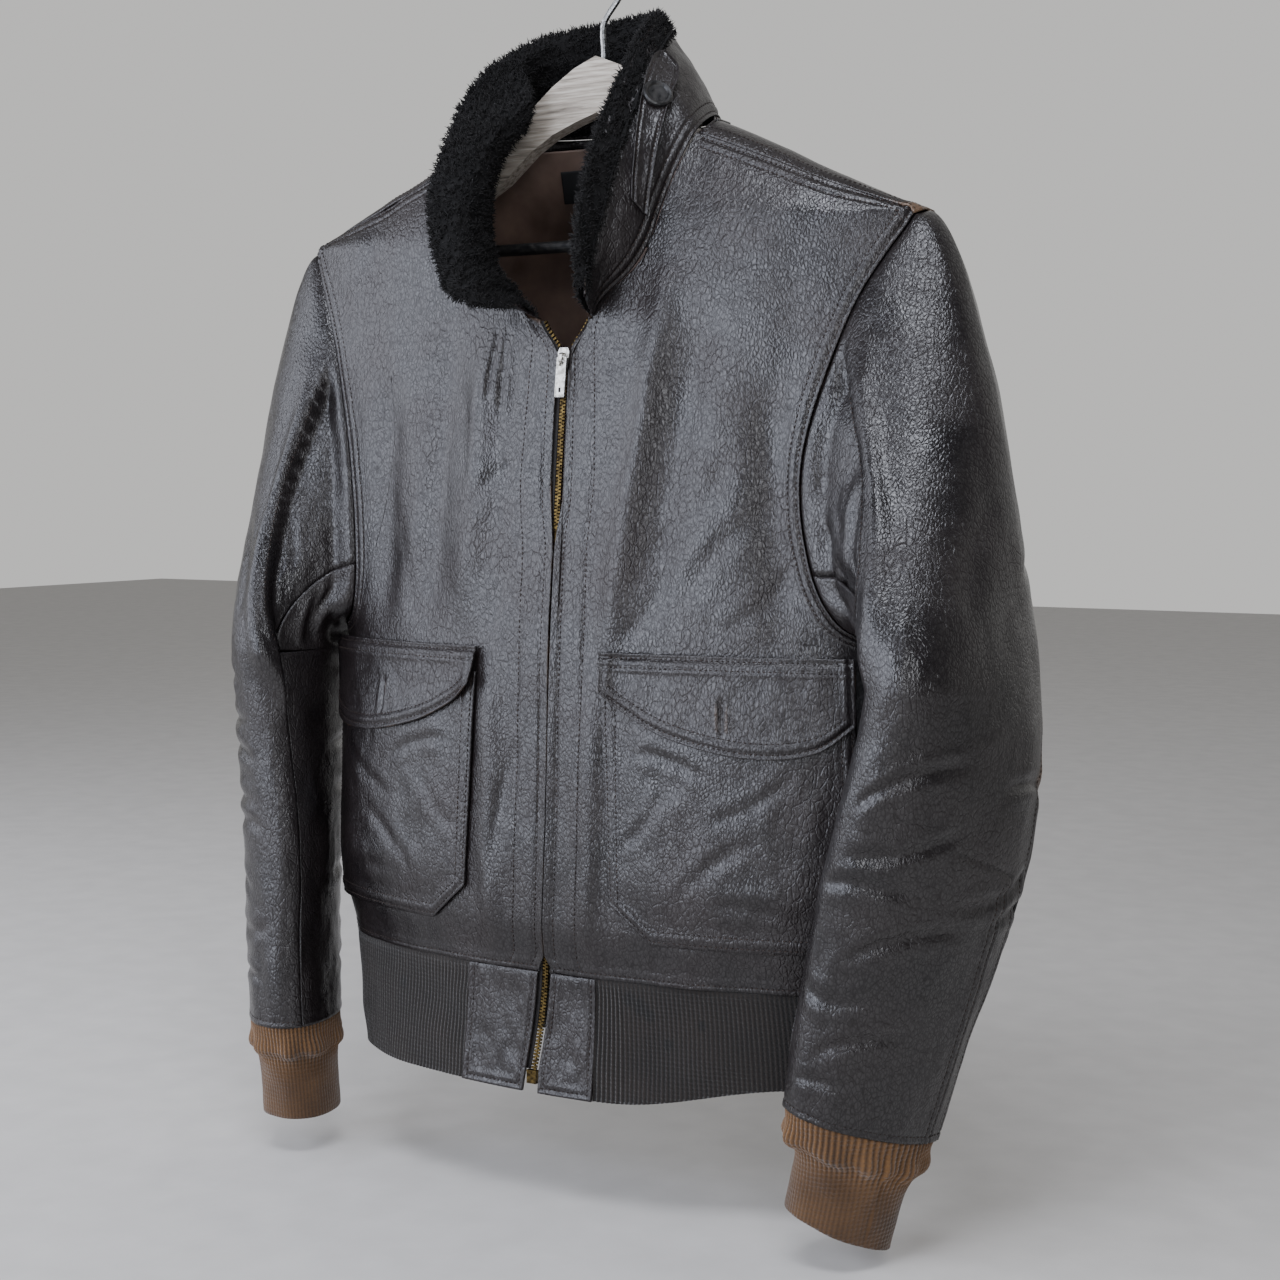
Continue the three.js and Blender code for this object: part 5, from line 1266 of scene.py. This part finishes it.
def collar_points(column, t):
    seam = np.stack([curve(column) for curve in seam_curve], -1)
    edge = np.stack([curve(column) for curve in edge_curve], -1)
    width = np.linalg.norm(edge - seam, axis=-1, keepdims=True)
    start = seam + (edge - seam) / width * COLLAR_GAP
    out = unit(seam * np.array([1, 1, 0]))
    bow = (start + edge) / 2 + out * COLLAR_BELLY * np.minimum(1, width / 60)
    t = t[..., None]
    return start * (1 - t) ** 2 + bow * 2 * t * (1 - t) + edge * t * t, width[..., 0]


def collar_grid(columns, rows):
    column = np.linspace(0, 22, columns)[None, :] + np.zeros((rows, 1))
    t = np.linspace(0, LEATHER_EDGE, rows)[:, None] + 0 * column
    grid = collar_points(column, t)[0]
    return grid, grid_normals(grid, -1), column, t


def make_collar_leather():
    grid, normals, column, t = collar_grid(260, 60)
    from_right, from_left, from_seam, from_edge = edge_distances(grid)
    rise = wrinkles(column * 21, t * 70, 16, 14, 0.7) * smooth(nearest(from_seam, from_edge), 2, 10)
    rise += lapped_seam(from_seam, (3, 9), 0.5, 11) + lapped_seam(from_edge, (4,), 0.4, 7)
    grid, normals = raised(grid, normals, rise, -1)
    wear = 0.7 * worn_edge(from_edge)
    piece = cloth("collar_leather", grid, normals, -1, TRIM_LEATHER, COLLAR_LEATHER, wear=wear)
    for d in (3, 9):
        sew(line_along_columns(grid, normals, from_seam, d))
    sew(line_along_columns(grid, normals, from_edge, 4))


HAIRS = 17500
HAIR_LONG, HAIR_WIDE = 4.6, 0.8
SKIN_BELOW = 2.4               # the skin lies this far under the pile's face
EVEN_PASSES = 60               # times that the leaf's directions are averaged with their neighbours


def fur_face(columns, rows):
    """The pile's face: up the inside of the leaves and over their free edge."""
    column = np.linspace(0, 22, columns)
    heights = np.linspace(0, LEATHER_EDGE, 24)
    leaf = through([(t, collar_points(column, t + 0 * column)[0]) for t in heights])
    shares = np.array([0, 0.2, 0.45, 0.65, 0.8, LEATHER_EDGE])
    base = leaf(shares)
    out = grid_normals(base, -1)
    width = collar_points(column, 0 * column)[1]
    full = fur_full(column) * np.minimum(1, width / 40)
    back, over = -COLLAR_LEATHER - fur_seat(column), fur_seat(column) + FUR_OVER * full
    past = base[-1] + unit(base[-1] - base[-2]) * (EDGE_SEAT + FUR_REACH * full)[:, None]
    inside = full * fur_rolled(column)
    middle = out.mean(0)
    for _ in range(EVEN_PASSES):
        middle[1:-1] = unit(middle[:-2] + middle[1:-1] + middle[2:])
    rolled = smooth(fur_rolled(column), 1.4, 2.4)[:, None]
    inward = [unit(lerp(out[i], middle, rolled)) for i in range(5)]
    section = [base[i] + inward[i] * (back - inside * fur_deep(shares[i]))[:, None] for i in range(5)]
    section.append(past + out[-1] * (back - 0.6 * inside * fur_deep(1))[:, None])
    spread = FUR_SPREAD * smooth(column, 13, 17)[:, None]
    foot, foot_out = lerp(base[4], base[3], spread), unit(lerp(out[4], out[3], spread))
    section += [past + out[-1] * over[:, None], foot + foot_out * over[:, None], foot + foot_out * 0.2]
    return through(list(enumerate(section)))(np.linspace(0, len(section) - 1, rows))


def curls(roots, ways):
    """Short bent hairs of three sides, with the share of each point along its hair."""
    count = len(roots)
    way = unit(ways + rng.normal(0, 0.5, (count, 3)))
    curl = unit(way + rng.normal(0, 0.9, (count, 3)))
    long = HAIR_LONG * rng.uniform(0.6, 1.15, count)[:, None]
    side = unit(np.cross(way, rng.normal(0, 1, (count, 3)))) * HAIR_WIDE / 2
    other = unit(np.cross(way, side)) * HAIR_WIDE / 2
    mid = roots + way * long * 0.6
    ring = [side, -0.5 * side + 0.87 * other, -0.5 * side - 0.87 * other]
    tip = mid + curl * long * 0.5
    points = np.stack([roots + r for r in ring] + [mid + 0.9 * r for r in ring] + [tip], 1)
    blade = [[0, 1, 4], [0, 4, 3], [1, 2, 5], [1, 5, 4], [2, 0, 3], [2, 3, 5]]
    blade += [[3, 4, 6], [4, 5, 6], [5, 3, 6]]
    faces = np.arange(count)[:, None, None] * 7 + np.array(blade)
    return points.reshape(-1, 3), faces.reshape(-1, 3), np.tile([0.2] * 3 + [0.7] * 3 + [1.0], count)


def make_fur():
    face = fur_face(230, 64)
    normals = grid_normals(face, 1)
    from_right, _, from_seam, _ = edge_distances(face)
    lumps = 0.9 * ripple(from_right / 7, from_seam / 7)
    lumps += 0.7 * ripple(from_right / 3.5 + 5, from_seam / 3.5)
    skin = face + normals * (lumps - SKIN_BELOW)[..., None]
    corner, above, beside = face[:-1, :-1], face[1:, :-1], face[:-1, 1:]
    cells = np.linalg.norm(np.cross(above - corner, beside - corner), axis=-1)
    cell = rng.choice(cells.size, HAIRS, p=np.ravel(cells) / cells.sum())
    r, c = np.divmod(cell, cells.shape[1])
    u, v = rng.random((2, HAIRS, 1))
    roots = lerp(lerp(skin[r, c], skin[r, c + 1], u), lerp(skin[r + 1, c], skin[r + 1, c + 1], u), v)
    points, faces, tone = curls(roots, normals[r, c])
    quads = grid_faces(*skin.shape[:2])
    skin_faces = np.concatenate([quads[:, [0, 1, 2]], quads[:, [0, 2, 3]]])
    # The skin is lighter on its lumps and darker in the hollows between them, which is painted shade.
    skin_shade_tone = 0.12 + 0.1 * lumps
    piece = add_mesh("collar_fur", np.concatenate([skin.reshape(-1, 3), points]),
                     np.concatenate([skin_faces, faces + skin_shade_tone.size]), FUR_PILE,
                     {"wear": np.concatenate([np.ravel(skin_shade_tone), tone])})
    dress(piece, "fur", "collar_fur")


make_collar_leather()
make_fur()

# Throat tab on the left leaf
TAB_SEAT, TAB_LEATHER = 1.15, 2.0
tab_middle = through([(15.5, 0.62), (17, 0.5), (18.6, 0.3)])
tab_half = through([(15.5, 0.08), (15.7, 0.14), (16.1, 0.16), (16.6, 0.16), (18.6, 0.13)])


def make_throat_tab():
    column = np.linspace(18.6, 15.5, 70)[:, None] + np.zeros((1, 26))
    t = tab_middle(column) + np.linspace(-1, 1, 26)[None, :] * tab_half(column)
    grid = collar_points(column, t)[0]
    normals = grid_normals(grid, 1)
    if np.mean(normals[..., 0]) < 0:
        normals = -normals
    grid = grid + normals * (TAB_SEAT + TAB_LEATHER)
    from_left, from_right, from_foot, from_tip = edge_distances(grid)
    edge = nearest(from_left, from_right, from_tip)
    curl = 1.6 * np.exp(-edge / 4) * smooth(from_foot, 10, 30)
    rise = curl + lapped_seam(edge, (2.5,), 0.5, 5) + wrinkles(from_left, from_foot, 12, 9, 0.4)
    grid = grid + normals * rise[..., None]
    wear = 0.2 * worn_edge(edge, 2)
    piece = cloth("throat_tab", grid, normals, 1, TRIM_LEATHER, TAB_LEATHER, wear=wear)
    sew(line_along_rows(grid, normals, from_left, 2.5, slice(2, -6)))
    sew(line_along_rows(grid, normals, from_right, 2.5, slice(2, -6)))


make_throat_tab()

# Lining behind the neck and a plain label on it
LINING_END, LINING_LOW = 0.72, -414            # share of the way round to the side seam; lower edge
THIN_CLOTH = 0.6
LINING_INSIDE, LABEL_INSIDE = -2.6, -5.5       # how far they lie inside the body's surface


def lining_grid(rows, columns, lift):
    halves = []
    c = np.linspace(0, LINING_END, columns)
    for side in (1, -1):
        low = [body(side, 180 - 90 * c, h, lift) for h in np.linspace(LINING_LOW, UNDERARM, rows // 5, False)]
        high = []
        for step in np.linspace(0, UPPER_STEPS, rows):
            narrow = lerp(1, NECK_END / LINING_END, smooth(step / UPPER_STEPS, 0.8, 1))
            high.append(body(side, *back_upper(side, c * narrow, step), lift))
        halves.append(np.array(low + high))
    return np.concatenate([halves[0][:, ::-1], halves[1][:, 1:]], 1)


def make_lining():
    grid = lining_grid(100, 60, LINING_INSIDE)
    normals = grid_normals(grid, -1)
    x, h = grid[..., 0], grid[..., 2]
    rise = np.maximum(0, 1.2 + 1.2 * ripple(x / 26 + 0.5 * ripple(h / 50, x / 50), h / 60))
    grid, normals = raised(grid, normals, rise, -1)
    piece = cloth("lining", grid, normals, -1, LINING_CLOTH, THIN_CLOTH, slot="lining")


def make_label():
    x = np.linspace(0.5, 56, 40)[None, ::-1] + np.zeros((16, 1))
    h = np.linspace(-26, -5, 16)[:, None] + 0 * x
    grid = body(-1, 180 - angle_at_x(-1, x, h), h, LABEL_INSIDE)
    normals = grid_normals(grid, 1)
    piece = cloth("neck_label", grid, normals, 1, LABEL_CLOTH, THIN_CLOTH, turn_in=1, slot="label")


make_lining()
make_label()

thread = joined_stitches(THREAD)
dress(thread, "leather")

# Hard pieces keep their solids and get their finish
for name, material in (
    ("zip_slider", NICKEL), ("zip_pull", NICKEL), ("zip_box", BRASS), ("throat_button", BLACK_BUTTON),
    ("hanger_wood", GREY_WOOD), ("hanger_hook", STEEL), ("hanger_bar", BLACK_BAR),
):
    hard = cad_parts[name]
    hard.data.materials.clear()
    hard.data.materials.append(material)

# Stage: pale floor, soft light and the camera at the photograph's angle
FLOOR_Z, FLOOR_HALF = -0.80, 6.0


def pale_paint(name):
    """Matt floor paint: nearly even, with faint specks."""
    material, tree, paint = new_material(name)
    where = {"Vector": places(tree), "Scale": per_metre(PAINT_SPECK), "Detail": 3.0}
    speck = node(tree, "TexNoise", "Fac", where)
    pale = [(0.3, linear("#d2cfcb")), (0.7, linear("#dad7d3"))]
    colour = node(tree, "ValToRGB", "Color", {"Fac": speck}, pale)
    fill(tree, paint, {"Base Color": colour, "Roughness": 0.9})
    return material


def make_floor():
    floor = bpy.data.objects.new("floor", bpy.data.meshes.new("floor"))
    corners = [(i * FLOOR_HALF, j * FLOOR_HALF, FLOOR_Z) for i, j in ((-1, -1), (1, -1), (1, 1), (-1, 1))]
    floor.data.from_pydata(corners, [], [(0, 1, 2, 3)])
    bpy.context.scene.collection.objects.link(floor)
    floor.data.materials.append(pale_paint("pale_floor_paint"))


def light_the_world():
    """Even grey all round, paler behind the jacket than in front of it."""
    world = bpy.context.scene.world or bpy.data.worlds.new("studio")
    bpy.context.scene.world = world
    world.use_nodes = True
    sky = world.node_tree
    way = node(sky, "TexCoord", "Generated", {})
    depth = node(sky, "SeparateXYZ", "Y", {"Vector": way})
    share = node(sky, "Math", "Value", {0: depth, 1: 0.5, 2: 0.5}, operation="MULTIPLY_ADD")
    greys = [(0.42, linear("#6f7073")), (0.8, linear("#e4e3e1"))]
    colour = node(sky, "ValToRGB", "Color", {"Fac": share}, greys)
    fill(sky, sky.nodes["Background"], {"Color": colour, "Strength": 0.85})


def soft_box(name, place, aim, width, height, power, colour):
    light = bpy.data.lights.new(name, "AREA")
    light.shape = "RECTANGLE"
    light.size, light.size_y = width, height
    light.energy = power
    light.color = linear(colour)[:3]
    lamp = bpy.data.objects.new(name, light)
    lamp.location = place
    lamp.rotation_euler = (Vector(aim) - Vector(place)).to_track_quat("-Z", "Y").to_euler()
    bpy.context.scene.collection.objects.link(lamp)


CAMERA_AZIMUTH, CAMERA_PITCH = math.radians(29.638), math.radians(4.555)
CAMERA_PLACE = (0.6719, -1.1292, -0.3368)


def make_camera():
    lens = bpy.data.cameras.new("camera")
    lens.lens = 56.25
    lens.sensor_width = 36.0
    lens.clip_end = 50.0
    camera = bpy.data.objects.new("camera", lens)
    camera.location = CAMERA_PLACE
    level = math.cos(CAMERA_PITCH)
    aside, ahead = -math.sin(CAMERA_AZIMUTH) * level, math.cos(CAMERA_AZIMUTH) * level
    look = Vector((aside, ahead, -math.sin(CAMERA_PITCH)))
    camera.rotation_euler = look.to_track_quat("-Z", "Y").to_euler()
    bpy.context.scene.collection.objects.link(camera)
    bpy.context.scene.camera = camera


make_floor()
light_the_world()
soft_box("front_light", (-0.4, -2.2, 0.0), (0.0, 0.0, -0.4), 0.9, 2.0, 41, "#eaf0ff")
soft_box("front_left_light", (-1.55, -1.65, 0.1), (0.0, 0.0, -0.4), 0.8, 1.9, 28, "#eaf0ff")
soft_box("left_light", (-1.9, -0.6, 0.1), (0.0, 0.0, -0.4), 1.0, 1.6, 16, "#eef2ff")
soft_box("ceiling_light", (0.3, -0.8, 1.0), (0.0, -0.05, -0.35), 0.9, 0.5, 16, "#f0f4ff")
soft_box("camera_light", (1.15, -1.45, -0.05), (-0.1, 0.0, -0.4), 0.4, 1.0, 9, "#f0f2f8")
make_camera()
